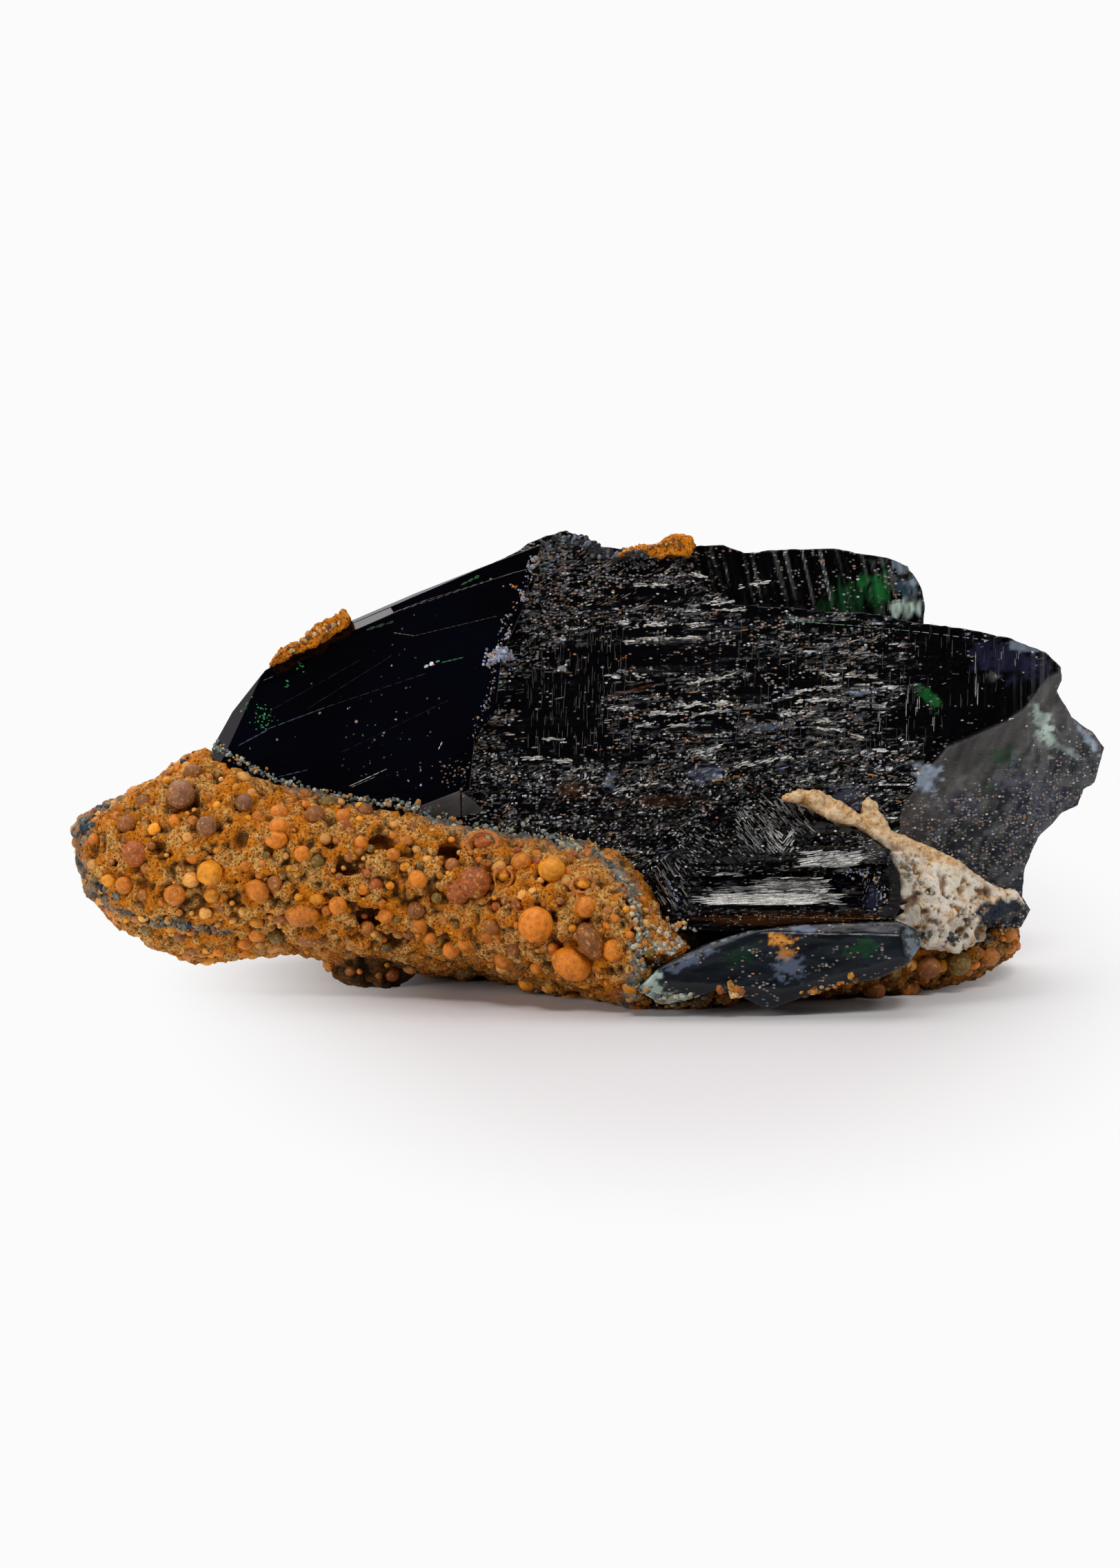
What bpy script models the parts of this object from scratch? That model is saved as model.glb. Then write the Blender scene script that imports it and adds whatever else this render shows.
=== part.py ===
"""A vivianite crystal group on oolitic ironstone, about 100 mm across, resting on its ironstone.

Lengths are in millimetres until an object is made, and metres from there on. The shapes are drawn in
the face frame: across to the right, depth away from the reader and up, square to a line of sight that
looks VIEW_TILT down onto the table. stood_up() turns that frame upright, so that +Z is up, and the
specimen is then moved so that the middle of its footprint on the table is the origin.
"""

import math
import random

import bmesh
import bpy
from mathutils import Matrix, Vector, noise
from mathutils.bvhtree import BVHTree

MM = 0.001
VIEW_TILT = math.radians(10)
GAP = 0.35
TABLE_LEVEL = 0.0
FAR = 60.0
SEED = 11

# How the big crystal leans and turns: depths of its front faces in the face frame
BLADE_CREASE = Vector((-35.4, -5.5, 22.3))
BLADE_LOWER_FACE = Vector((-0.106, -1.0, 0.05))
BLADE_UPPER_FACE = Vector((-0.163, -1.0, 0.20))
BLADE_FOOT_FACE = Vector((0.078, -1.0, -0.50))
BLADE_FOOT_POINT = Vector((-15.4, -7.85, 17.75))
LAMINA_SETBACK = 1.3
LAMINA_RISE = 0.9
SLAB_FRONT = -8.0
SLAB_LEAN = 0.16
SLAB_LEAN_FROM = 12.0
WING_STARTS = 26.0
WING_TURN = 0.020
WING_THICKNESS = 3.6
WING_FACET = Vector((0.38, -1.0, -0.30))
WING_FACET_POINT = Vector((33.0, -5.6, 21.0))
LEDGE_SETBACK = 3.0

# Outlines in the face frame, across and up, going round clockwise
BLADE_OUTLINE = [
    (-36.4, 22.6), (-34.4, 26.2), (-31.2, 30.2), (-27.5, 32.4), (-23.1, 34.6), (-16.8, 37.3),
    (-10.4, 39.8), (-4.6, 42.0), (-6.4, 36.0), (-8.4, 31.5), (-8.9, 27.0), (-11.0, 23.4),
    (-11.4, 19.5), (-12.6, 8.0), (-34.0, 8.0),
]
SLAB_OUTLINE = [
    (-16.0, 6.0), (-14.0, 34.0), (-10.2, 40.0), (-4.2, 43.2), (-2.3, 43.6), (-0.3, 43.1), (1.1, 42.2),
    (4.4, 41.8), (7.6, 41.0), (10.8, 38.4), (14.0, 36.5), (19.0, 36.2), (22.9, 35.9), (26.9, 35.7),
    (32.2, 34.7), (36.2, 34.3), (40.8, 33.3), (44.2, 32.0), (45.8, 30.6), (45.7, 29.2), (45.3, 28.2),
    (46.8, 25.7), (48.8, 24.3), (50.0, 22.7), (49.4, 20.7), (49.0, 19.3), (47.9, 18.7), (47.4, 17.2),
    (45.8, 16.4), (43.5, 14.1), (42.2, 11.1), (41.8, 8.4), (42.6, 7.1), (41.8, 5.4), (38.9, 3.8),
    (34.0, 4.6), (20.0, 5.0), (4.0, 5.5),
]
LEDGE_OUTLINE = [
    (-7.0, 30.0), (-4.6, 42.4), (-2.3, 43.2), (1.1, 41.8), (4.4, 41.9), (6.8, 42.3), (9.0, 42.2),
    (13.0, 42.3), (15.0, 41.6), (19.5, 41.9), (23.6, 42.0), (28.9, 41.1), (30.8, 40.3), (31.5, 39.1),
    (32.1, 38.3), (32.5, 36.6), (32.3, 34.6), (30.0, 30.0),
]
STUB_OUTLINE = [
    (6.6, 5.2), (6.8, 11.6), (9.4, 13.4), (14.3, 14.4), (18.3, 15.0), (22.3, 15.5), (25.6, 14.7),
    (28.6, 12.7), (29.8, 9.7), (29.6, 7.1), (28.4, 5.5),
]
FRONT_BLADE_OUTLINE = [
    (4.8, -0.4), (7.0, 1.8), (11.0, 3.7), (15.0, 5.0), (19.6, 5.6), (29.4, 6.0), (31.2, 5.3),
    (31.6, 3.8), (30.4, 2.1), (27.6, 0.7), (23.9, 0.1), (19.6, -1.3), (17.0, -2.2), (14.7, -1.0),
    (12.3, -0.3), (9.7, -1.2), (7.0, -1.7),
]
SHELL_OUTLINE = [
    (18.6, 17.8), (20.2, 18.6), (22.4, 18.2), (24.6, 17.1), (26.2, 16.0), (26.7, 17.9), (27.5, 17.2),
    (28.9, 14.6), (32.9, 12.9), (35.5, 11.7), (38.2, 9.6), (41.3, 8.7), (41.9, 7.4), (38.9, 6.6),
    (37.7, 4.6), (35.5, 3.2), (32.2, 3.6), (29.0, 4.6), (28.2, 9.0), (26.6, 12.9), (23.4, 15.8),
    (20.6, 17.4),
]
SCAB_LEFT_OUTLINE = [
    (-30.9, 30.4), (-30.2, 31.7), (-29.6, 32.2), (-28.7, 32.8), (-27.6, 32.7), (-27.3, 33.6),
    (-26.6, 34.3), (-25.6, 34.8), (-24.6, 35.4), (-23.7, 35.9), (-23.0, 35.5), (-23.3, 34.3),
    (-25.7, 33.0), (-28.0, 31.8),
]
SCAB_TOP_OUTLINE = [
    (2.6, 41.2), (3.9, 42.0), (5.0, 42.3), (6.2, 42.1), (6.6, 42.3), (7.6, 43.0), (8.6, 43.2),
    (9.7, 43.0), (10.2, 42.3), (9.6, 41.2),
]

# Broken ledges that stand out of the slab's front: left end, right end, crest, drop, how far out
SLAB_LEDGES = [
    (2.0, 15.5, 35.0, 2.6, 0.8), (-4.5, 7.5, 33.0, 3.0, 0.9), (11.0, 27.0, 33.2, 2.6, 0.7),
    (7.0, 22.5, 30.6, 3.0, 1.1), (-7.0, 5.0, 29.6, 3.2, 0.9), (18.0, 31.0, 28.6, 2.8, 0.8),
    (-2.5, 13.0, 27.4, 3.2, 1.2), (12.5, 24.5, 26.0, 2.7, 0.9), (2.0, 15.5, 24.2, 3.0, 1.0),
    (18.5, 29.0, 23.4, 3.0, 0.7), (-9.0, 1.5, 24.4, 3.2, 0.8), (8.0, 20.0, 21.6, 2.8, 1.1),
    (-6.5, 7.0, 20.2, 3.2, 1.0), (12.0, 23.0, 18.4, 2.6, 1.2), (-3.0, 9.5, 16.8, 2.8, 0.9),
    (27.0, 38.5, 31.6, 3.0, 0.6),
]

# Stations of the ironstone's lumps: across, middle depth, middle height, half depth, half height
FRONT_LOBE = [
    (-49.7, 1.0, 13.2, 2.0, 2.0), (-48.4, 0.6, 12.7, 5.0, 4.0), (-46.0, 0.5, 11.7, 7.5, 6.1),
    (-42.0, 0.6, 11.7, 10.0, 8.2), (-38.0, 0.8, 12.6, 11.4, 10.1), (-33.5, 0.8, 11.9, 12.4, 9.6),
    (-29.5, 0.6, 11.8, 12.8, 8.6), (-25.0, 0.3, 10.7, 13.2, 8.1), (-20.5, 0.0, 10.1, 13.4, 7.9),
    (-16.0, 0.0, 9.2, 13.9, 7.9), (-10.0, -0.4, 8.0, 14.6, 7.4), (-5.0, -1.0, 6.9, 15.6, 7.6),
    (0.0, -1.6, 5.8, 16.2, 7.9), (3.5, -2.0, 4.4, 16.6, 7.6), (6.6, -2.0, 2.6, 16.2, 6.2),
    (10.0, -1.6, 0.7, 14.6, 4.4), (14.0, -1.0, 0.4, 12.4, 4.0),
]
LEFT_FOOT = [
    (-25.2, 1.2, 4.0, 2.0, 2.4), (-22.6, 0.6, 2.6, 4.6, 3.6), (-19.6, 0.6, 2.4, 5.2, 3.7),
    (-16.8, 1.2, 4.0, 3.4, 2.8), (-15.2, 1.6, 4.8, 1.6, 1.6),
]
RIGHT_BASE = [
    (4.0, 1.0, 2.6, 10.0, 4.2), (12.0, 1.0, 2.4, 11.6, 4.6), (19.0, 1.6, 2.3, 12.2, 4.8),
    (25.0, 2.0, 2.2, 12.2, 4.7), (30.0, 2.4, 2.4, 11.4, 4.3), (34.0, 3.0, 2.9, 10.4, 3.7),
    (38.0, 3.6, 3.8, 8.4, 2.8), (41.6, 4.0, 5.0, 5.0, 1.6),
]
BACK_RIDGE = [
    (-38.0, 8.0, 14.0, 3.4, 4.4), (-31.0, 10.0, 13.0, 5.6, 8.0), (-22.0, 11.0, 12.2, 6.8, 9.6),
    (-12.0, 11.6, 11.0, 7.4, 9.0), (-2.0, 11.8, 10.0, 7.6, 8.2), (9.0, 11.4, 9.4, 7.4, 7.4),
    (20.0, 11.0, 8.6, 6.6, 6.4), (29.0, 10.0, 7.8, 5.0, 4.8), (35.0, 9.0, 7.0, 3.0, 2.8),
]

# Ooids that stand out of the ironstone's front: across, up, half width, half height, turn in degrees
FRONT_OOIDS = [
    (-5.1, 5.8, 1.64, 1.64, 0), (-10.2, 13.5, 1.75, 1.30, 10), (-11.4, 9.5, 1.75, 1.75, 0),
    (-6.5, 11.7, 0.95, 0.95, 0), (-3.6, 11.0, 1.40, 1.35, 0), (-0.6, 9.7, 1.20, 0.85, 0),
    (-0.3, 7.5, 1.05, 0.80, 0), (0.1, 4.3, 1.05, 1.85, 25), (-1.7, 2.0, 1.95, 1.35, -30),
    (-13.2, 3.4, 0.90, 0.90, 0), (-8.1, 2.4, 0.98, 0.98, 0), (-16.4, 10.1, 0.95, 0.90, 0),
    (-16.6, 14.9, 0.78, 0.72, 0), (-16.6, 7.1, 0.90, 0.75, 0), (-9.3, 5.6, 0.80, 0.75, 0),
    (-16.4, 5.2, 0.90, 0.85, 0), (-24.1, 7.6, 0.95, 0.90, 0), (-5.9, 0.1, 0.90, 0.75, 0),
    (-1.7, -1.2, 1.05, 0.75, -10), (2.3, 3.3, 0.90, 1.05, 0), (-39.2, 18.2, 1.35, 1.35, 0),
    (-36.7, 15.2, 1.05, 0.95, 0), (-43.6, 12.5, 1.30, 1.25, 0), (-36.4, 10.7, 1.30, 1.30, 0),
    (-31.8, 9.0, 1.35, 0.95, -30), (-27.5, 6.6, 1.65, 1.10, -5), (-30.0, 14.6, 1.10, 0.90, 0),
    (-27.5, 12.5, 0.85, 0.85, 0), (-33.1, 17.4, 0.90, 0.90, 0), (-26.3, 16.2, 1.00, 0.95, 0),
    (-39.8, 8.6, 1.10, 1.05, 0), (-44.7, 9.5, 0.90, 0.90, 0), (-26.5, 4.4, 1.40, 0.90, 0),
]
FRONT_PITS = [
    (-13.3, 12.7, 1.15, 1.15, 0), (-23.0, 11.2, 1.35, 0.85, 0), (-21.1, 6.6, 1.20, 1.15, 0),
    (-18.4, 4.3, 1.45, 0.95, 15), (-30.0, 4.7, 0.95, 0.80, 0), (-20.0, 13.6, 1.20, 0.90, 0),
]
LOW_OOIDS = [
    (13.3, -0.9, 1.35, 1.10, 0), (22.8, -1.2, 1.05, 0.80, 0), (27.4, -0.7, 1.15, 0.85, 0),
    (30.8, -0.5, 1.05, 0.90, 0), (32.6, 1.6, 1.25, 1.05, 0), (35.6, 2.0, 1.15, 1.20, 0),
    (34.4, -0.3, 1.05, 0.95, 0), (38.6, 2.6, 0.95, 0.90, 0),
]
HIDDEN_OOIDS = 14
HIDDEN_OOID_RADIUS = (1.0, 1.5)
OOID_SINK = 0.36


def stood_up():
    """The turn from the face frame to the part's own, with +Z up."""
    return Matrix.Rotation(-VIEW_TILT, 4, "X")


def clear_scene():
    for obj in list(bpy.data.objects):
        bpy.data.objects.remove(obj)


def finish_of(name, colour, roughness):
    material = bpy.data.materials.new(name)
    material.use_nodes = True
    shader = material.node_tree.nodes["Principled BSDF"]
    shader.inputs["Base Color"].default_value = (*colour, 1.0)
    shader.inputs["Roughness"].default_value = roughness
    shader.inputs["Metallic"].default_value = 0.0
    return material


def object_from(name, bm):
    """A helper or a piece, still in millimetres and in the face frame."""
    bmesh.ops.recalc_face_normals(bm, faces=bm.faces)
    mesh = bpy.data.meshes.new(name)
    bm.to_mesh(mesh)
    bm.free()
    obj = bpy.data.objects.new(name, mesh)
    bpy.context.scene.collection.objects.link(obj)
    return obj


def combine(target, others, operation, solver="EXACT"):
    """Boolean of target with each of others, applied, and the others removed."""
    for other in others:
        modifier = target.modifiers.new("combine", "BOOLEAN")
        modifier.operation = operation
        modifier.solver = solver
        modifier.object = other
        graph = bpy.context.evaluated_depsgraph_get()
        made = bpy.data.meshes.new_from_object(target.evaluated_get(graph))
        target.modifiers.clear()
        target.data = made
        bpy.data.objects.remove(other)
    return target


def swollen(obj, by):
    """A copy of the piece, grown by that much, which cuts the room that the piece sits in."""
    copy = bpy.data.objects.new(obj.name + "_room", obj.data.copy())
    bpy.context.scene.collection.objects.link(copy)
    bm = bmesh.new()
    bm.from_mesh(copy.data)
    bmesh.ops.remove_doubles(bm, verts=bm.verts, dist=0.02)
    bmesh.ops.triangulate(bm, faces=bm.faces)
    bm.normal_update()
    for vert in bm.verts:
        shell = max(0.5, vert.calc_shell_factor())
        vert.co += vert.normal * by * min(shell, 2.0)
    bm.to_mesh(copy.data)
    bm.free()
    return copy


def seat(obj, pieces):
    """Cuts the room of each piece out of obj. A grown copy may fold over itself, which this solver bears."""
    return combine(obj, [swollen(piece, GAP) for piece in pieces], "DIFFERENCE", "MANIFOLD")


def prism(outline, near, far):
    """The outline as a plate from the near depth to the far one. near and far read across and up."""
    bm = bmesh.new()
    rim = [bm.verts.new((across, near(across, up), up)) for across, up in outline]
    face = bm.faces.new(rim)
    grown = bmesh.ops.extrude_face_region(bm, geom=[face], use_keep_orig=True)
    for vert in (g for g in grown["geom"] if isinstance(g, bmesh.types.BMVert)):
        vert.co.y = far(vert.co.x, vert.co.z)
    bmesh.ops.triangulate(bm, faces=[f for f in bm.faces if len(f.verts) > 4])
    return bm


def cut_by_plane(bm, point, outward):
    """Takes away what lies beyond a plane and closes the cut, as a crystal face does."""
    geometry = bm.verts[:] + bm.edges[:] + bm.faces[:]
    cut = bmesh.ops.bisect_plane(
        bm, geom=geometry, dist=1e-4, plane_co=point, plane_no=outward, clear_outer=True
    )
    rim = [g for g in cut["geom_cut"] if isinstance(g, bmesh.types.BMEdge)]
    if rim:
        bmesh.ops.holes_fill(bm, edges=rim, sides=0)


def plane_depth(point, normal, across, up):
    """Depth of a tilted plane at that place in the face frame."""
    return point.y - (normal.x * (across - point.x) + normal.z * (up - point.z)) / normal.y


def ledges(across, up):
    """The slab's cleavage steps: long ridges across it, broken at random along their length."""
    drift = 0.9 * noise.noise(Vector((across * 0.06, up * 0.10, 3.1)))
    step = (up / 3.4 + drift) % 1.0
    ragged = noise.noise(Vector((across * 0.16, up * 0.75, 7.7)))
    return 0.5 * (step - 0.5) + 0.7 * ragged


def slab_plane(across, up):
    """The slab's front before its steps: it leans back, and its right end turns away."""
    turn = WING_TURN * max(0.0, across - WING_STARTS) ** 2
    return SLAB_FRONT + SLAB_LEAN * (up - SLAB_LEAN_FROM) + turn


def wing_facet(across, up):
    """The wing's broad smooth face, which looks right and a little down."""
    return plane_depth(WING_FACET_POINT, WING_FACET, across, up)


def slab_front(across, up):
    rough = min(1.0, max(0.15, (34.0 - across) / 10.0))
    stepped = slab_plane(across, up) + rough * ledges(across, up)
    return max(stepped, wing_facet(across, up))


def slab_back(across, up):
    uneven = 0.7 * noise.noise(Vector((across * 0.11, up * 0.14, 9.0)))
    back = 8.6 - 0.17 * (up - SLAB_LEAN_FROM) + uneven - 0.22 * max(0.0, across - 20.0)
    front = max(slab_plane(across, up), wing_facet(across, up))
    return max(back, front + WING_THICKNESS)


def ledge_front(across, up):
    grain = 0.30 * noise.noise(Vector((across * 0.9, up * 0.10, 1.3)))
    blend = min(1.0, max(0.0, (across + 2.0) / 12.0))
    return slab_front(across, up) * (1 - blend) + (SLAB_FRONT + 4.6 + LEDGE_SETBACK + grain) * blend


def ledge_back(across, up):
    return 9.0 - 0.20 * (up - SLAB_LEAN_FROM) - 0.02 * max(0.0, across - 25.0) ** 2


def relief_block(low, high, cells, front, back):
    """A block whose front and back skins are grids bent to the given depths."""
    bm = bmesh.new()
    bmesh.ops.create_grid(bm, x_segments=cells[0], y_segments=cells[1], size=0.5)
    for vert in bm.verts:
        across = low[0] + (vert.co.x + 0.5) * (high[0] - low[0])
        up = low[1] + (vert.co.y + 0.5) * (high[1] - low[1])
        vert.co = Vector((across, front(across, up), up))
    grown = bmesh.ops.extrude_face_region(bm, geom=bm.faces[:], use_keep_orig=True)
    for vert in (g for g in grown["geom"] if isinstance(g, bmesh.types.BMVert)):
        vert.co.y = back(vert.co.x, vert.co.z)
    return bm


def carved(name, outline, cells, front, back):
    """A relief block trimmed to an outline along the line of sight."""
    margin = 1.3
    low = [min(p[i] for p in outline) - margin for i in (0, 1)]
    high = [max(p[i] for p in outline) + margin for i in (0, 1)]
    block = object_from(name, relief_block(low, high, cells, front, back))
    trim = object_from(name + "_trim", prism(outline, lambda a, u: -FAR, lambda a, u: FAR))
    return combine(block, [trim], "INTERSECT")


def blade(name, setback, rise):
    """One lamina of the smooth left blade: flat faces that meet at a low crease."""
    shift = Vector((0.0, setback, rise))
    outline = [(a, u + (rise if u > 30.0 else 0.0)) for a, u in BLADE_OUTLINE]
    bm = prism(outline, lambda a, u: -FAR / 2, lambda a, u: 7.6 - 0.16 * (u - SLAB_LEAN_FROM))
    cut_by_plane(bm, BLADE_CREASE + shift, BLADE_LOWER_FACE)
    cut_by_plane(bm, BLADE_CREASE + shift, BLADE_UPPER_FACE)
    cut_by_plane(bm, BLADE_FOOT_POINT + shift, BLADE_FOOT_FACE)
    for along, up in (((-31.1, 31.0)), ((-10.2, 39.8))):
        edge = Vector((along, plane_depth(BLADE_CREASE, BLADE_UPPER_FACE, along, up), up)) + shift
        cut_by_plane(bm, edge + Vector((0, 0.0, -0.55)), Vector((-0.36, -0.52, 0.80)))
    cut_by_plane(bm, Vector((-34.6, -4.3, 24.6)) + shift, Vector((-0.80, -0.42, 0.42)))
    return object_from(name, bm)


def broken_ledge(left, right, crest, drop, out):
    """A splinter of the slab: a narrow top that slopes forward, and a front that runs back into the slab."""
    askew = 0.9 * noise.noise(Vector((left, crest, 5.5)))
    outline = [
        (left, crest - 0.8 * drop), (left + 0.7, crest - 0.3), (left + 2.4, crest + 0.4),
        (right - 2.8, crest + 0.4), (right - 0.8, crest - 0.2), (right, crest - 0.5 * drop),
        (right - 3.4, crest - 0.7 * drop), (right - 6.0, crest - drop), (left + 2.8, crest - 0.9 * drop),
    ]
    bm = prism(outline, lambda a, u: slab_plane(a, u) - out - 0.6, lambda a, u: slab_plane(a, u) + 2.0)
    middle = (left + right) / 2
    edge = Vector((middle, slab_plane(middle, crest) - out, crest))
    turned = 2 * WING_TURN * max(0.0, middle - WING_STARTS)
    cut_by_plane(bm, edge, Vector((turned + 0.02 * askew, -0.9, 1.0)))
    cut_by_plane(bm, edge, Vector((turned - 0.03 * askew, -1.0, -0.30)))
    return object_from("ledge", bm)


def make_main_crystal():
    """The grown mass: two laminae of the smooth blade, the striated slab with its wing, the ledge."""
    slab = carved("main_crystal", SLAB_OUTLINE, (17, 19), slab_front, slab_back)
    combine(slab, [broken_ledge(*row) for row in SLAB_LEDGES], "UNION")
    ledge = carved("ledge", LEDGE_OUTLINE, (14, 4), ledge_front, ledge_back)
    front_lamina = blade("front_lamina", 0.0, -LAMINA_RISE * 0.5)
    back_lamina = blade("back_lamina", LAMINA_SETBACK, LAMINA_RISE * 0.5)
    return combine(slab, [ledge, back_lamina, front_lamina], "UNION")


def make_stub_crystal():
    """A short crystal that lies along the slab's foot, stepped by its cleavage."""
    bm = prism(STUB_OUTLINE, lambda a, u: -15.6, lambda a, u: -6.5)
    cut_by_plane(bm, Vector((0, -15.2, 7.4)), Vector((0.0, -1.0, 0.34)))
    cut_by_plane(bm, Vector((0, -14.3, 11.0)), Vector((0.0, -0.8, 0.75)))
    cut_by_plane(bm, Vector((27.6, -15.0, 9.0)), Vector((0.75, -0.66, 0.10)))
    cut_by_plane(bm, Vector((26.0, -15.0, 13.0)), Vector((0.55, -0.50, 0.66)))
    cut_by_plane(bm, Vector((8.6, -15.6, 9.0)), Vector((-0.72, -0.70, 0.10)))
    body = object_from("stub_crystal", bm)
    steps = [
        ((10.6, 26.6), (6.9, 8.0), -16.2, -12.0),
        ((14.0, 22.6), (10.9, 12.0), -14.7, -10.0),
        ((19.5, 25.6), (11.8, 13.2), -13.6, -9.0),
    ]
    plates = []
    for (left, right), (low, high), near, far in steps:
        outline = [(left, low), (left + 1.2, high), (right - 1.0, high), (right, low)]
        plates.append(object_from("step", prism(outline, lambda a, u, n=near: n, lambda a, u, f=far: f)))
    return combine(body, plates, "UNION")


def make_front_blade():
    """The flat blade at the foot, with a bevel along its upper and lower edges."""
    bm = prism(FRONT_BLADE_OUTLINE, lambda a, u: -19.2 + 0.05 * (a - 5.0), lambda a, u: -12.6)
    cut_by_plane(bm, Vector((12.0, -18.6, 3.6)), Vector((-0.22, -0.72, 0.66)))
    cut_by_plane(bm, Vector((28.0, -17.6, 5.2)), Vector((0.05, -0.70, 0.71)))
    cut_by_plane(bm, Vector((30.4, -17.4, 3.0)), Vector((0.72, -0.68, 0.12)))
    cut_by_plane(bm, Vector((27.0, -17.6, 1.2)), Vector((0.22, -0.72, -0.66)))
    cut_by_plane(bm, Vector((10.0, -18.6, -0.4)), Vector((0.0, -0.80, -0.60)))
    return object_from("front_blade", bm)


def shell_front(across, up):
    bulge = 3.0 * math.exp(-(((across - 32.0) / 6.0) ** 2) - ((up - 8.0) / 5.0) ** 2)
    return -9.6 - bulge + 0.28 * max(0.0, across - 27.0) + 0.9 * noise.noise(Vector((across, 2.0, up)) * 0.5)


def make_shell_fossil():
    """The chalky fossil, a wedge that thins upwards to a tongue between the crystals."""
    return carved("shell_fossil", SHELL_OUTLINE, (9, 7), shell_front, lambda a, u: 1.0 + 0.1 * (a - 20))


def make_scab(name, outline, near, far):
    """A crumb of ironstone that clings to the crystal's edge."""
    low = min(a for a, u in outline)
    return carved(
        name, outline, (6, 4),
        lambda a, u: near - 0.5 * noise.noise(Vector((a - low, 0.0, u)) * 0.9),
        lambda a, u: far,
    )


def lump(name, stations, sides, squareness=0.78):
    """A rounded lump through the stations: a ring at each, bridged to the next."""
    bm = bmesh.new()
    rings = []
    for across, depth, up, half_depth, half_height in stations:
        ring = bmesh.ops.create_circle(bm, segments=sides, radius=1.0)["verts"]
        for vert in ring:
            y = math.copysign(abs(vert.co.x) ** squareness, vert.co.x)
            z = math.copysign(abs(vert.co.y) ** squareness, vert.co.y)
            vert.co = Vector((across, depth + half_depth * y, up + half_height * z))
        rings.append([e for e in bm.edges if e.verts[0] in ring and e.verts[1] in ring])
    for first, second in zip(rings, rings[1:]):
        bmesh.ops.bridge_loops(bm, edges=first + second)
    bmesh.ops.holes_fill(bm, edges=bm.edges, sides=0)
    bmesh.ops.recalc_face_normals(bm, faces=bm.faces)
    bm.normal_update()
    for vert in bm.verts:
        knobbly = 0.9 * noise.noise(vert.co * 0.22) + 0.7 * noise.noise(vert.co * 0.55)
        vert.co += vert.normal * knobbly
    return object_from(name, bm)


def pebble(centre, half_width, half_height, turn):
    """One ooid: a faceted ball, flattened and turned in the face of the rock."""
    bm = bmesh.new()
    bmesh.ops.create_icosphere(bm, subdivisions=2, radius=1.0)
    shape = Matrix.Translation(centre) @ Matrix.Rotation(math.radians(-turn), 4, "Y")
    shape @= Matrix.Diagonal((half_width, min(half_width, half_height) * 1.02, half_height, 1.0))
    bmesh.ops.transform(bm, matrix=shape, verts=bm.verts)
    return object_from("ooid", bm)


def surface_of(objects):
    """A tree of the pieces' faces, which rays are cast at."""
    bm = bmesh.new()
    for obj in objects:
        bm.from_mesh(obj.data)
    tree = BVHTree.FromBMesh(bm)
    bm.free()
    return tree


def seen_place(tree, across, up):
    """Where the line of sight through that place of the face first meets the rock."""
    place, normal, _, _ = tree.ray_cast(Vector((across, -FAR, up)), Vector((0, 1, 0)))
    return place, normal


def front_pebbles(tree, rows, sink):
    made = []
    for across, up, half_width, half_height, turn in rows:
        place, _ = seen_place(tree, across, up)
        if place is None:
            continue
        centre = place + Vector((0, sink * min(half_width, half_height), 0))
        made.append(pebble(centre, half_width, half_height, turn))
    return made


def hidden_pebbles(rock, crystals, count):
    """Ooids on the back, the ends and the underside, at random on bare rock."""
    rng = random.Random(SEED)
    tree = surface_of([rock])
    others = surface_of(crystals)
    made = []
    while len(made) < count:
        angle = rng.uniform(-0.15, math.pi + 0.15)
        across = rng.uniform(-44.0, 36.0)
        away = Vector((0.0, math.sin(angle), math.cos(angle)))
        start = Vector((across, 3.0, 7.0)) + away * FAR
        place, normal, _, _ = tree.ray_cast(start, -away)
        if place is None or others.ray_cast(start, -away, (place - start).length + 1.5)[0]:
            continue
        radius = rng.uniform(*HIDDEN_OOID_RADIUS)
        made.append(pebble(place - normal * OOID_SINK * radius, radius, radius * rng.uniform(0.75, 1.0), 0))
    return made


def make_matrix(crystals):
    """The ironstone: its lumps joined, studded with ooids, pitted where ooids fell out."""
    rock = lump("ironstone_matrix", FRONT_LOBE, 18)
    more = [lump("foot", LEFT_FOOT, 10), lump("base", RIGHT_BASE, 14), lump("ridge", BACK_RIDGE, 12)]
    combine(rock, more, "UNION")
    tree = surface_of([rock])
    pebbles = front_pebbles(tree, FRONT_OOIDS + LOW_OOIDS, OOID_SINK)
    pits = front_pebbles(tree, FRONT_PITS, 0.0)
    pebbles += hidden_pebbles(rock, crystals, HIDDEN_OOIDS)
    combine(rock, pebbles, "UNION")
    combine(rock, pits, "DIFFERENCE")
    return seat(rock, crystals)


def largest_body(obj):
    """Drops crumbs that the cuts left loose."""
    bm = bmesh.new()
    bm.from_mesh(obj.data)
    left = set(bm.verts)
    bodies = []
    while left:
        body = {left.pop()}
        edge_of_body = list(body)
        while edge_of_body:
            for edge in edge_of_body.pop().link_edges:
                for vert in edge.verts:
                    if vert in left:
                        left.remove(vert)
                        body.add(vert)
                        edge_of_body.append(vert)
        bodies.append(body)
    keep = max(bodies, key=len)
    bmesh.ops.delete(bm, geom=[v for v in bm.verts if v not in keep], context="VERTS")
    bm.to_mesh(obj.data)
    bm.free()


def set_on_table(obj):
    """Turns a piece upright and cuts its foot off flat at the table."""
    obj.data.transform(stood_up())
    if min(v.co.z for v in obj.data.vertices) < TABLE_LEVEL:
        bm = bmesh.new()
        bmesh.ops.create_cube(bm, size=4 * FAR)
        bmesh.ops.translate(bm, verts=bm.verts, vec=(0, 0, TABLE_LEVEL - 2 * FAR))
        combine(obj, [object_from("table", bm)], "DIFFERENCE", "MANIFOLD")


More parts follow.
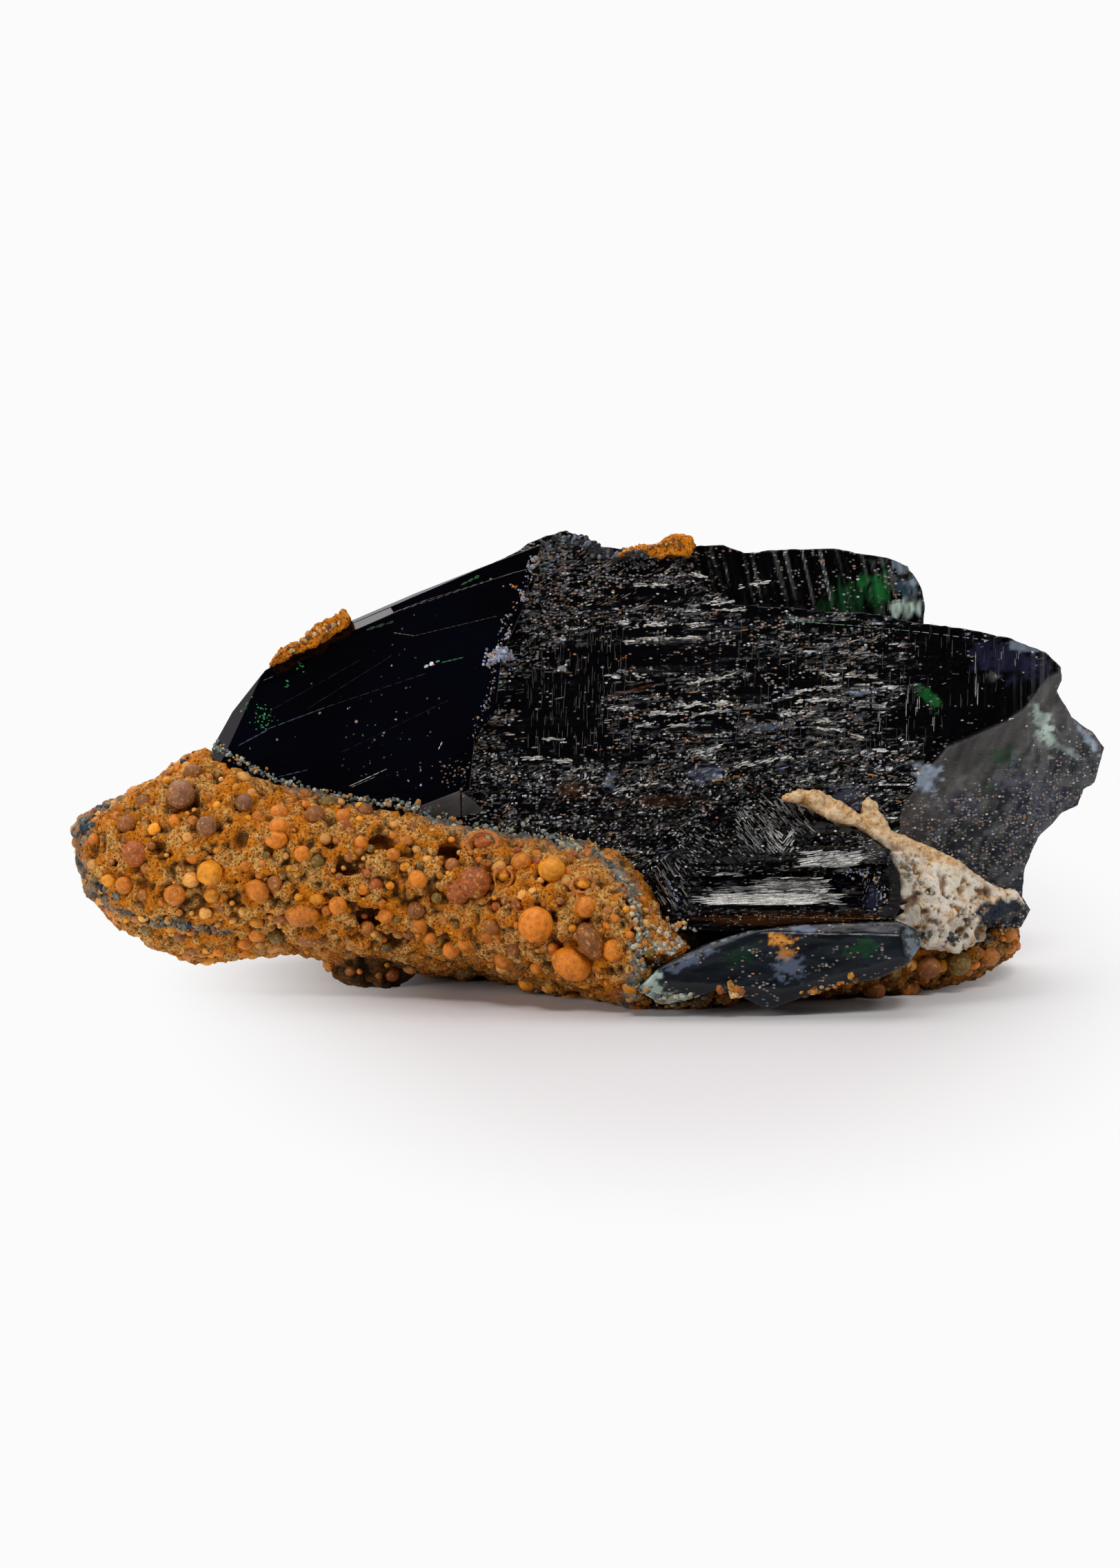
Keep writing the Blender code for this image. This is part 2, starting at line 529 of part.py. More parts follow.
def middle_of_footprint(objects):
    points = [v.co for obj in objects for v in obj.data.vertices]
    low = [min(p[i] for p in points) for i in (0, 1)]
    high = [max(p[i] for p in points) for i in (0, 1)]
    return Vector(((low[0] + high[0]) / 2, (low[1] + high[1]) / 2, TABLE_LEVEL))


def place_piece(obj, offset, holder, material):
    """Metres, with the piece's own origin in its middle, parented to the specimen."""
    obj.data.transform(Matrix.Scale(MM, 4) @ Matrix.Translation(-offset))
    points = [v.co for v in obj.data.vertices]
    middle = sum(points, Vector()) / len(points)
    obj.data.transform(Matrix.Translation(-middle))
    obj.location = middle
    obj.parent = holder
    obj.data.materials.clear()
    obj.data.materials.append(material)


def main():
    clear_scene()
    vivianite = finish_of("vivianite", (0.008, 0.010, 0.016), 0.12)
    ironstone = finish_of("ironstone", (0.42, 0.17, 0.03), 0.85)
    chalk = finish_of("chalky_fossil", (0.68, 0.55, 0.40), 0.9)

    front_blade = make_front_blade()
    stub = seat(make_stub_crystal(), [front_blade])
    shell = seat(make_shell_fossil(), [front_blade, stub])
    main_crystal = seat(make_main_crystal(), [stub, shell])
    crystals = [main_crystal, stub, front_blade]
    scab_left = seat(make_scab("ore_scab_left", SCAB_LEFT_OUTLINE, -6.6, -2.6), [main_crystal])
    scab_top = seat(make_scab("ore_scab_top", SCAB_TOP_OUTLINE, -4.4, -1.0), [main_crystal])
    scabs = [scab_left, scab_top]
    matrix = make_matrix([*crystals, shell])

    pieces = [(c, vivianite) for c in crystals]
    pieces += [(shell, chalk), (matrix, ironstone)]
    pieces += [(scab, ironstone) for scab in scabs]
    for obj, _ in pieces:
        largest_body(obj)
        set_on_table(obj)
    offset = middle_of_footprint([obj for obj, _ in pieces])
    specimen = bpy.data.objects.new("specimen", None)
    bpy.context.scene.collection.objects.link(specimen)
    for obj, material in pieces:
        place_piece(obj, offset, specimen, material)


main()
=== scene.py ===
# %% [markdown]
# # A vivianite crystal on oolitic ironstone
#
# The specimen is a black crystal, about ten centimetres long, grown on a block of orange ironstone. Its left
# end is one smooth blade, its right end is a bundle of broken cleavage sheets, and a chalky fossil is caught
# between the crystals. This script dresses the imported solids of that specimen: each is hidden, and a mesh with
# the real thing's fine relief stands in its place, in the same frame.

# %% Load the fixed frame
import math
import random
import bmesh
import bpy
import numpy as np
from mathutils import Matrix, Vector
from mathutils.bvhtree import BVHTree
from mathutils.kdtree import KDTree


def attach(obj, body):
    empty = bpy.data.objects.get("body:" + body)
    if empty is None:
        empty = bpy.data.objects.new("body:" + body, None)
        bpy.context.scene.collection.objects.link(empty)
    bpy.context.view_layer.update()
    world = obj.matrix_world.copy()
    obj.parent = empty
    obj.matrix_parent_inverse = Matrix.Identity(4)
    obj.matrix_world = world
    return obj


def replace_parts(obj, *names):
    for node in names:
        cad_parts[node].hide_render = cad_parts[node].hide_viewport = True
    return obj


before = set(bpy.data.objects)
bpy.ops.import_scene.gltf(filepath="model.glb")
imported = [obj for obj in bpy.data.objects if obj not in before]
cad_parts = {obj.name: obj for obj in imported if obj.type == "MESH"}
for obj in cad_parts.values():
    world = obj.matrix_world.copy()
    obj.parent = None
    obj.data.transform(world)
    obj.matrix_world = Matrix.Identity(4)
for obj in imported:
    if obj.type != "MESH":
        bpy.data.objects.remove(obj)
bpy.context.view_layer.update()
print("solids:", sorted(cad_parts))

# %% [markdown]
# Everything was drawn in the face frame: across to the right, depth away from the reader, and up, square to a
# line of sight that looks ten degrees down onto the table, all in millimetres. Two short functions carry points
# from there to the part's own frame in metres and back, so that a crystal face can be placed where it is seen
# and still sit on the solid that carries it.

# %% The face frame
TILT = math.radians(10)
SHIFT_ACROSS, SHIFT_DEPTH = 0.046, -1.390


def to_part(points):
    """Face frame, millimetres, to the part's frame, metres. Takes an array of rows."""
    across, depth, up = points[:, 0], points[:, 1], points[:, 2]
    y = depth * math.cos(TILT) + up * math.sin(TILT) + SHIFT_DEPTH
    z = up * math.cos(TILT) - depth * math.sin(TILT)
    return np.stack([across + SHIFT_ACROSS, y, z], axis=1) * 0.001


def to_face(points):
    """The part's frame, metres, to the face frame, millimetres."""
    mm = points * 1000.0
    y = mm[:, 1] - SHIFT_DEPTH
    depth = y * math.cos(TILT) - mm[:, 2] * math.sin(TILT)
    up = y * math.sin(TILT) + mm[:, 2] * math.cos(TILT)
    return np.stack([mm[:, 0] - SHIFT_ACROSS, depth, up], axis=1)


there = to_part(np.array([[0.0, 0.0, 0.0], [10.0, -8.0, 20.0]]))
print("and back again:", to_face(there).round(3).tolist())

# %% [markdown]
# The camera looks ten degrees down from a metre and a half away, as a lens for small objects does. A long lens
# keeps the near and the far end at nearly the same scale. The picture is tall, so the sensor's long side is its
# height: 151 mm of specimen and table fit in it.

# %% The camera
CAMERA_DISTANCE = 1500.0
VIEW_HEIGHT = 150.8
AIM = (-2.785, -8.0, 19.23)

lens = bpy.data.cameras.new("studio_camera")
lens.sensor_width = 36.0
lens.lens = 36.0 * CAMERA_DISTANCE / VIEW_HEIGHT
lens.clip_start, lens.clip_end = 0.05, 20.0
camera = bpy.data.objects.new("studio_camera", lens)
bpy.context.scene.collection.objects.link(camera)
stand = to_part(np.array([[AIM[0], AIM[1] - CAMERA_DISTANCE, AIM[2]]]))[0]
camera.location = stand.tolist()
camera.rotation_euler = (math.pi / 2 - TILT, 0.0, 0.0)
bpy.context.scene.camera = camera
print("camera at", [round(v, 3) for v in stand], "lens", round(lens.lens))

# %% [markdown]
# A finish is a small tree of nodes. These helpers keep each tree short: `put` adds a node and wires it, and the
# others name the handful of patterns that all the finishes share. Patterns read Object coordinates, turned from
# metres into millimetres, so that a grain size below is simply cells per millimetre.

# %% Finish helpers
def put(tree, kind, wires=(), **settings):
    made = tree.nodes.new(kind)
    for key, value in settings.items():
        setattr(made, key, value)
    for socket, source in wires:
        if isinstance(source, bpy.types.NodeSocket):
            tree.links.new(source, made.inputs[socket])
        else:
            made.inputs[socket].default_value = source
    return made


def new_finish(name, ior, roughness=0.5, mirror=0.5):
    """A new material and its node tree, with the even values set on the shader itself."""
    material = bpy.data.materials.new(name)
    material.use_nodes = True
    shader = material.node_tree.nodes["Principled BSDF"]
    for socket, value in (("IOR", ior), ("Roughness", roughness), ("Specular IOR Level", mirror)):
        shader.inputs[socket].default_value = value
    return material, material.node_tree


def wired(material, colour, normal, gloss=None):
    """Joins a finish's colour, bump and, where it varies, roughness to the shader."""
    tree = material.node_tree
    for socket, source in (("Base Color", colour), ("Normal", normal), ("Roughness", gloss)):
        if source is not None:
            tree.links.new(source, tree.nodes["Principled BSDF"].inputs[socket])
    return material


def laid_out(tree, scale=(1.0, 1.0, 1.0), turn=0.0):
    """Object coordinates in millimetres, turned in the face's plane and then stretched."""
    source = put(tree, "ShaderNodeTexCoord").outputs["Object"]
    if turn:
        turned = put(tree, "ShaderNodeMapping", [("Vector", source)])
        turned.inputs["Rotation"].default_value = (0.0, math.radians(turn), 0.0)
        source = turned.outputs["Vector"]
    mapped = put(tree, "ShaderNodeMapping", [("Vector", source)])
    mapped.inputs["Scale"].default_value = [1000.0 * s for s in scale]
    return mapped.outputs["Vector"]


def cloudy(tree, where, scale, detail=2.0, roughness=0.55):
    made = put(tree, "ShaderNodeTexNoise", [("Vector", where), ("Scale", scale)])
    made.inputs["Detail"].default_value = detail
    made.inputs["Roughness"].default_value = roughness
    return made.outputs["Fac"]


def cells_at(tree, where, scale, output="Distance"):
    return put(tree, "ShaderNodeTexVoronoi", [("Vector", where), ("Scale", scale)]).outputs[output]


def stepped(tree, value, stops):
    """A colour ramp: stops are pairs of a position and a colour or a grey."""
    made = put(tree, "ShaderNodeValToRGB", [("Fac", value)])
    ramp = made.color_ramp
    while len(ramp.elements) < len(stops):
        ramp.elements.new(0.5)
    for element, (position, colour) in zip(ramp.elements, stops):
        element.position = position
        element.color = (*colour, 1.0) if isinstance(colour, tuple) else (colour, colour, colour, 1.0)
    return made.outputs["Color"]


def mixed(tree, amount, first, second, how="MIX"):
    made = put(tree, "ShaderNodeMix", data_type="RGBA", blend_type=how)
    for index, source in ((0, amount), (6, first), (7, second)):
        if isinstance(source, bpy.types.NodeSocket):
            tree.links.new(source, made.inputs[index])
        else:
            made.inputs[index].default_value = source if index == 0 else (*source, 1.0)
    return made.outputs[2]


def sums(tree, how, first, second):
    made = put(tree, "ShaderNodeMath", [(0, first), (1, second)], operation=how)
    return made.outputs["Value"]


def bumped(tree, height, distance, strength=1.0):
    made = put(tree, "ShaderNodeBump", [("Height", height), ("Distance", distance * 0.001)])
    made.inputs["Strength"].default_value = strength
    return made.outputs["Normal"]


def tone(tree, name, output="Color"):
    return put(tree, "ShaderNodeAttribute", attribute_name=name).outputs[output]


# %% [markdown]
# A black, glassy thing is lit by what it mirrors. The room in front of it stays dark, so that the smooth blade
# reads black, and a large soft box above and a little behind gives its bevels a grey gleam. Two tall soft boxes
# at the sides light the ironstone's front. The camera itself sees plain white behind the specimen.

# %% The studio
PAPER_WHITE = (0.965, 0.965, 0.965, 1.0)


def soft_box(name, place, size, strength, colour=(1.0, 1.0, 1.0), aim=(0.0, 0.0, 0.02)):
    light = bpy.data.lights.new(name, "AREA")
    light.shape = "RECTANGLE"
    light.size, light.size_y = size
    light.color = colour
    light.energy = strength * size[0] * size[1] * math.pi
    box = bpy.data.objects.new(name, light)
    box.location = place
    facing = Vector(aim) - Vector(place)
    box.rotation_euler = facing.to_track_quat("-Z", "Y").to_euler()
    bpy.context.scene.collection.objects.link(box)
    return box


soft_box("top_box", (-0.25, 0.42, 0.85), (1.5, 0.9), 2.2)
soft_box("front_key", (0.26, -0.55, 0.95), (0.24, 0.24), 22.0)
soft_box("right_key", (0.72, -0.50, 1.10), (0.30, 0.30), 9.0)
soft_box("left_box", (-0.95, -0.65, 0.38), (0.45, 0.5), 9.0, (1.0, 0.97, 0.96))
soft_box("right_rim", (1.05, 0.15, 0.40), (0.4, 0.6), 1.6)

world = bpy.data.worlds.new("white_room")
world.use_nodes = True
bpy.context.scene.world = world
room = world.node_tree
room.nodes.clear()
slant = put(room, "ShaderNodeVectorMath", [
    (0, put(room, "ShaderNodeTexCoord").outputs["Generated"]), (1, (0.0, 0.80, 0.60))], operation="DOT_PRODUCT")
felt = put(room, "ShaderNodeBackground", [
    ("Color", stepped(room, slant.outputs["Value"], [(0.30, (0.005, 0.005, 0.006)), (0.95, (0.46, 0.42, 0.43))]))])
seen = put(room, "ShaderNodeBackground", [("Color", PAPER_WHITE)])
choice = put(room, "ShaderNodeMixShader", [
    (0, put(room, "ShaderNodeLightPath").outputs["Is Camera Ray"]), (1, felt.outputs[0]), (2, seen.outputs[0])])
put(room, "ShaderNodeOutputWorld", [("Surface", choice.outputs[0])])

bpy.context.scene.view_settings.view_transform = "Standard"
bpy.context.scene.view_settings.look = "None"

# %% [markdown]
# The table is a sheet far larger than the picture. Round the specimen it is pale grey under the lamps; further out it
# glows as white as the wall behind, a painted light that fades the shadows there.

# %% The table
def white_paper():
    """Pale grey round the specimen, and further out a painted white glow, as white as the wall, that fades the shadows.
    """
    material, tree = new_finish("white_paper", 1.5, 0.9, 0.1)
    shader = tree.nodes["Principled BSDF"]
    shader.inputs["Base Color"].default_value = (0.66, 0.64, 0.645, 1.0)
    oval = put(tree, "ShaderNodeMapping", [
        ("Vector", put(tree, "ShaderNodeTexCoord").outputs["Object"]),
        ("Location", (-0.020, 0.0, 0.0)), ("Scale", (2.4, 1.0, 1.0))])
    far = put(tree, "ShaderNodeVectorMath", [(0, oval.outputs["Vector"])], operation="LENGTH")
    share = put(tree, "ShaderNodeMapRange", [
        ("Value", far.outputs["Value"]), ("From Min", 0.05), ("From Max", 0.125)], interpolation_type="SMOOTHSTEP")
    glow = put(tree, "ShaderNodeEmission", [("Color", PAPER_WHITE)])
    blend = put(tree, "ShaderNodeMixShader", [(0, share.outputs[0]), (1, shader.outputs[0]), (2, glow.outputs[0])])
    tree.links.new(blend.outputs[0], tree.nodes["Material Output"].inputs["Surface"])
    return material


def table_top():
    bm = bmesh.new()
    bmesh.ops.create_grid(bm, x_segments=1, y_segments=1, size=6.0)
    mesh = bpy.data.meshes.new("table_top")
    bm.to_mesh(mesh)
    bm.free()
    mesh.materials.append(white_paper())
    top = bpy.data.objects.new("table_top", mesh)
    bpy.context.scene.collection.objects.link(top)
    return top


table_top()

# %% [markdown]
# Stone is never even, so most shapes and finishes below are roughened by smooth random values. This is value
# noise: each corner of a lattice gets its own random number, hashed from its place, and a point takes a smooth
# mix of the eight corners round it. Written for whole arrays, it treats a hundred thousand points at once.

# %% Random grain
def lattice(cells, seed):
    """A random number from -1 to 1 for each lattice corner."""
    mixed = cells[:, 0] * 73856093 ^ cells[:, 1] * 19349663 ^ cells[:, 2] * 83492791 ^ seed * 2654435761
    for shift, factor in ((16, 0x45D9F3B), (15, 0x2C1B3C6D), (16, 1)):
        mixed = ((mixed & 0xFFFFFFFF) >> shift ^ mixed & 0xFFFFFFFF) * factor & 0xFFFFFFFF
    return mixed / 0x7FFFFFFF - 1.0


def grain(points, size, seed=0):
    """Smooth noise from -1 to 1. size is the lattice's pitch, one number or one for each axis."""
    scaled = points / np.asarray(size, float) + 17.3
    base = np.floor(scaled).astype(np.int64)
    part = scaled - base
    part = part * part * part * (part * (part * 6 - 15) + 10)
    total = np.zeros(len(points))
    for corner in range(8):
        step = np.array([corner & 1, corner >> 1 & 1, corner >> 2])
        weight = np.prod(np.where(step, part, 1 - part), axis=1)
        total += weight * lattice(base + step, seed)
    return total


def layers(points, size, seed, count=3):
    """Grain upon finer grain, each layer half as strong and half the size."""
    size = np.asarray(size, float)
    return sum(grain(points, size / 2**i, seed + i) / 2**i for i in range(count)) / 1.6


def face_points(across, up):
    return np.stack([across, np.zeros_like(across), up], axis=1)


def eased(value, low, high):
    """0 below low, 1 above high and a smooth climb between."""
    t = np.clip((value - low) / (high - low), 0.0, 1.0)
    return t * t * (3 - 2 * t)


trial = grain(np.random.RandomState(1).rand(20000, 3) * 40, 1.0, 3)
print("grain runs from", trial.min().round(2), "to", trial.max().round(2))

# %% [markdown]
# Broken crystal is a mosaic of small flat facets. Each point belongs to the nearest of the jittered centres
# round it, and takes that centre's own depth and tilt. Some facets then happen to face the light above and
# glint, which is how the real one gets its broken white dashes.

# %% Facets
def facets(across, up, size, depth, tilt, seed):
    """Depth of a mosaic of flat facets. size is width and height, tilt how far a facet leans at most."""
    cell_a, cell_u = np.floor(across / size[0]).astype(np.int64), np.floor(up / size[1]).astype(np.int64)
    best = np.full(len(across), 1e9)
    found = np.zeros(len(across))
    for da in (-1, 0, 1):
        for du in (-1, 0, 1):
            key = np.stack([cell_a + da, cell_u + du, np.full_like(cell_a, 5)], axis=1)
            jitter_a, jitter_u = 0.42 * lattice(key, seed), 0.42 * lattice(key, seed + 1)
            off_a = across - (cell_a + da + 0.5 + jitter_a) * size[0]
            off_u = up - (cell_u + du + 0.5 + jitter_u) * size[1]
            far = (off_a / size[0]) ** 2 + (off_u / size[1]) ** 2
            lean = np.maximum(lattice(key, seed + 2) ** 3, -0.10)
            value = depth * lattice(key, seed + 3) + tilt * lean * off_u
            value += 0.3 * tilt * lattice(key, seed + 4) ** 3 * off_a
            nearer = far < best
            best = np.where(nearer, far, best)
            found = np.where(nearer, value, found)
    return found


# %% [markdown]
# Two ways lead from numbers to a piece. Small shapes stay in a bmesh until they are done. Fine skins are written
# back to the mesh as one array. Either way the last step is the same: from the face frame to the part's frame,
# a finish, and a place on the specimen's one body.

# %% From shape to piece
def linked(name, mesh):
    obj = bpy.data.objects.new(name, mesh)
    bpy.context.scene.collection.objects.link(obj)
    return obj


def mesh_of(name, bm):
    bmesh.ops.recalc_face_normals(bm, faces=bm.faces)
    if bm.calc_volume(signed=True) < 0:
        bmesh.ops.reverse_faces(bm, faces=bm.faces)
    mesh = bpy.data.meshes.new(name)
    bm.to_mesh(mesh)
    bm.free()
    return mesh


def points_of(mesh):
    flat = np.empty(len(mesh.vertices) * 3, np.float32)
    mesh.vertices.foreach_get("co", flat)
    return flat.reshape(-1, 3).astype(float)


def set_points(mesh, points):
    mesh.vertices.foreach_set("co", points.astype(np.float32).ravel())
    mesh.update()


def normals_of(mesh):
    flat = np.empty(len(mesh.vertices) * 3, np.float32)
    mesh.vertex_normals.foreach_get("vector", flat)
    return flat.reshape(-1, 3).astype(float)


def made_real(obj):
    """The object's mesh with its modifiers applied. The object itself is removed."""
    graph = bpy.context.evaluated_depsgraph_get()
    mesh = bpy.data.meshes.new_from_object(obj.evaluated_get(graph))
    bpy.data.objects.remove(obj)
    return mesh


def paint(mesh, name, colours):
    """Stores one colour for each point, which a finish reads by name."""
    layer = mesh.attributes.new(name, "FLOAT_COLOR", "POINT")
    layer.data.foreach_set("color", np.clip(colours, 0, 8).astype(np.float32).ravel())


def place_piece(name, mesh, finish, smooth=False, in_face_frame=True):
    """Moves a mesh to the part's frame, gives it its finish, and lets it ride on the specimen."""
    if in_face_frame:
        points = to_part(points_of(mesh))
        points[:, 2] = np.maximum(points[:, 2], 0.0)
        set_points(mesh, points)
    mesh.materials.clear()
    mesh.materials.append(finish)
    mesh.polygons.foreach_set("use_smooth", np.full(len(mesh.polygons), smooth))
    mesh.name = name
    obj = linked(name, mesh)
    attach(obj, "root")
    triangles = sum(len(p.vertices) - 2 for p in mesh.polygons)
    print(name, "has", triangles, "triangles")
    return obj


def ball(subdivisions):
    """A unit ball, the pattern that many small pieces are copied from."""
    bm = bmesh.new()
    bmesh.ops.create_icosphere(bm, subdivisions=subdivisions, radius=1.0)
    return mesh_of("ball", bm)


def many_copies(name, pattern, shapes, layer, colours):
    """One mesh of many copies of a pattern, each with its own place, stretch and colour."""
    points = points_of(pattern)
    faces = np.array([polygon.vertices[:] for polygon in pattern.polygons])
    shapes = np.array([[row[:] for row in shape] for shape in shapes])
    placed = np.einsum("nij,vj->nvi", shapes[:, :3, :3], points) + shapes[:, None, :3, 3]
    joined = faces[None] + (np.arange(len(shapes)) * len(points))[:, None, None]
    mesh = bpy.data.meshes.new(name)
    mesh.from_pydata(placed.reshape(-1, 3).tolist(), [], joined.reshape(-1, 3).tolist())
    colours = np.column_stack([colours, np.ones(len(colours))])
    paint(mesh, layer, np.repeat(colours, len(points), axis=0))
    return mesh


def ragged(outline, seed, pitch=0.45, amount=0.16):
    """An outline with more corners, each moved a little, as a broken edge is."""
    dense = []
    for (a0, u0), (a1, u1) in zip(outline, outline[1:] + outline[:1]):
        count = max(1, round(math.hypot(a1 - a0, u1 - u0) / pitch))
        dense += [(a0 + (a1 - a0) * i / count, u0 + (u1 - u0) * i / count) for i in range(count)]
    dense = np.array(dense)
    where = face_points(dense[:, 0], dense[:, 1])
    dense[:, 0] += amount * layers(where, 1.1, seed)
    dense[:, 1] += amount * layers(where, 1.1, seed + 9)
    return dense.tolist()


def plate(outline, near, far):
    """A flat plate with the outline, between two depths."""
    bm = bmesh.new()
    face = bm.faces.new([bm.verts.new((across, near, up)) for across, up in outline])
    grown = bmesh.ops.extrude_face_region(bm, geom=[face], use_keep_orig=True)
    rear = [g for g in grown["geom"] if isinstance(g, bmesh.types.BMVert)]
    bmesh.ops.translate(bm, verts=rear, vec=(0, far - near, 0))
    bmesh.ops.triangulate(bm, faces=[f for f in bm.faces if len(f.verts) > 4])
    return bm


def trimmed(mesh, outline, name):
    """What of a block lies inside an outline, seen along the line of sight."""
    block = linked(name, mesh)
    trimmer = linked(name + "_outline", mesh_of(name + "_outline", plate(outline, -60.0, 60.0)))
    cut = block.modifiers.new("trim", "BOOLEAN")
    cut.operation, cut.solver, cut.object = "INTERSECT", "MANIFOLD", trimmer
    made = made_real(block)
    bpy.data.objects.remove(trimmer)
    return made


def skin_block(low, high, cells, front, back):
    """A closed block: a fine front skin bent to a depth, and one plain face behind it."""
    bm = bmesh.new()
    bmesh.ops.create_grid(bm, x_segments=cells[0], y_segments=cells[1], size=0.5)
    flat = np.array([v.co[:] for v in bm.verts]) + 0.5
    across = low[0] + flat[:, 0] * (high[0] - low[0])
    up = low[1] + flat[:, 1] * (high[1] - low[1])
    depth = front(across, up)
    for vert, a, d, u in zip(bm.verts, across.tolist(), depth.tolist(), up.tolist()):
        vert.co = (a, d, u)
    rim = [e for e in bm.edges if e.is_boundary]
    grown = bmesh.ops.extrude_edge_only(bm, edges=rim)
    rear = [g for g in grown["geom"] if isinstance(g, bmesh.types.BMVert)]
    behind = back(np.array([v.co.x for v in rear]), np.array([v.co.z for v in rear]))
    for vert, d in zip(rear, behind.tolist()):
        vert.co.y = d
    bmesh.ops.holes_fill(bm, edges=[e for e in bm.edges if e.is_boundary], sides=0)
    return bm


def cut_block(low, high, cells, front, back, outline, seed):
    """A skin block trimmed to an outline, whose edge is ragged as a broken one is."""
    return trimmed(mesh_of("block", skin_block(low, high, cells, front, back)), ragged(outline, seed), "block")


# %% [markdown]
# The front of the big crystal follows the imported solid. The smooth blade is three planes that meet at low creases.
# The slab beside it leans back, turns away towards the wing, and drops to a smoother facet below the wing's rim, whose
# grey is a painted reflection. These depths are used twice: to shape the skins, and to lay slivers on them.

# %% Depths of the crystal's faces
def plane(point, normal, across, up):
    """Depth of a plane where the line of sight through a place meets it."""
    return point[1] - (normal[0] * (across - point[0]) + normal[2] * (up - point[2])) / normal[1]


def blade_planes(setback, rise):
    """A point on each of a sheet's three planes, and which way the plane looks."""
    crease, foot = (-35.4, -5.5 + setback, 22.3 + rise), (-15.4, -7.85 + setback, 17.75 + rise)
    return [(crease, (-0.106, -1.0, 0.05)), (crease, (-0.163, -1.0, 0.20)), (foot, (0.078, -1.0, -0.50))]


def blade_depth(across, up, setback=0.0, rise=-0.45):
    return np.max([plane(point, outward, across, up) for point, outward in blade_planes(setback, rise)], axis=0)


def slab_plane(across, up):
    return -8.0 + 0.16 * (up - 12.0) + 0.020 * np.maximum(0.0, across - 26.0) ** 2


FACET_RIM = [(30.0, 17.0), (33.3, 21.5), (34.6, 23.0), (37.6, 24.3), (40.2, 25.4), (42.3, 26.9), (44.5, 29.9),
             (47.0, 30.6)]


def below_rim(across, up):
    """How far a place lies under the rim of the wing's smoother facet, whose grey is painted."""
    rim_a, rim_u = zip(*FACET_RIM)
    return np.where(across > rim_a[0], np.interp(across, rim_a, rim_u) - up, -9.0)


def shingles(across, up, step, run, rise, seed):
    """Cleavage steps: each comes forward slowly as it rises and falls back fast at its crest. 0 to 1."""
    where = face_points(across, up)
    drift = 0.9 * grain(where, (run, 1.0, step * 1.6), seed)
    level = (up - rise * across) / step + drift
    part = level - np.floor(level)
    jut = 0.6 + 0.4 * grain(np.stack([across / run * 2, np.floor(level) * 7.7, 0 * up], 1), 1.0, seed + 5)
    return jut * np.where(part < 0.70, part / 0.70, (1 - part) / 0.30)


def quiet(points):
    """1 where the slab's cleavage is intact and black, 0 where it is splintered."""
    gaps = grain(points - np.outer(points[:, 0], (0, 0, 0.06)), (7.0, 1.0, 1.7), 45)
    gaps += 0.5 * grain(points, (2.2, 1.0, 0.7), 46)
    return eased(gaps, -0.30, 0.20)


def threads(points):
    """1 on the thin, wavy lines that the broken ends of the sheets make, which climb a little to the right."""
    drift = 0.09 * points[:, 0] + 0.5 * grain(points, (9.0, 1.0, 4.0), 47)
    where = face_points(points[:, 0], points[:, 2] - drift)
    broad = np.exp(-((grain(where, (6.0, 1.0, 0.95), 48) / 0.17) ** 2))
    fine = np.exp(-((grain(where, (3.0, 1.0, 0.5), 49) / 0.20) ** 2))
    return np.clip(broad + 0.6 * fine, 0, 1)


def left_band(across, up):
    """1 on the dark, nearly unbroken band of the slab beside the smooth blade."""
    wide = eased(across, -8.5, -5.5) * (1 - eased(across, 0.5, 4.0))
    return wide * eased(up, 20.0, 22.0) * (1 - eased(up, 30.0, 34.0))


def slab_front(across, up):
    """The striated slab's fine relief."""
    where = face_points(across, up)
    calm = np.clip((34 - across) / 9, 0.10, 1.0) * (1 - 0.5 * eased(-across, 3.0, 9.0))
    hackly = eased(23.5 - up + 1.5 * grain(where, 5.0, 40), 0.0, 3.0)
    depth = slab_plane(across, up)
    still = 1 - 0.92 * quiet(where)
    steps = -0.17 * shingles(across, up, 3.4, 12.0, 0.04, 1) - 0.05 * shingles(across, up, 1.5, 6.0, 0.07, 2)
    splinters = still * facets(across, up - 0.05 * across, (1.5, 0.40), 0.05, 0.6, 11)
    chips = facets(across, up, (0.95, 0.62), 0.16, 0.6, 21) + facets(across, up, (0.40, 0.32), 0.04, 0.5, 31)
    chips = chips * (0.35 + 0.65 * still) - 0.5 * facets(across, up, (3.4, 1.6), 0.5, 0.3, 41)
    fibres = 0.035 * grain(where, (0.24, 1.0, 6.0), 51) + 0.03 * grain(where, (0.5, 1.0, 9.0), 52)
    rough = calm * (steps + splinters * (1 - hackly) + chips * hackly) + fibres * (1.2 - calm)
    rough *= 1 - 0.75 * left_band(across, up)
    under = below_rim(across, up)
    dull = eased(under, -0.1, 0.5)
    smooth = depth + 0.15 * np.maximum(under, 0) + 0.25 * layers(where, (1.6, 1.0, 2.4), 61) * eased(under, 1.0, 5.0)
    return np.where(across > 30.0, (depth + rough) * (1 - dull) + smooth * dull, depth + rough)


def slab_back(across, up):
    back = 8.6 - 0.17 * (up - 12.0) - 0.22 * np.maximum(0.0, across - 20.0)
    return np.maximum(back, slab_plane(across, up) + 3.6)


def ledge_front(across, up):
    where = face_points(across + 0.22 * up, up)
    blend = np.clip((across + 2.0) / 12.0, 0.0, 1.0)
    relief = 0.10 * grain(where, (0.55, 1.0, 9.0), 71) + 0.05 * grain(where, (0.25, 1.0, 5.0), 72)
    relief += 0.35 * layers(where, (2.6, 1.0, 4.0), 73) * eased(across, 26.0, 29.0)
    rough = facets(across, up, (0.8, 0.5), 0.16, 0.8, 74) * (1 - eased(across, 3.0, 11.0))
    return slab_front(across, up) * (1 - blend) + (-0.4 + relief) * blend + rough


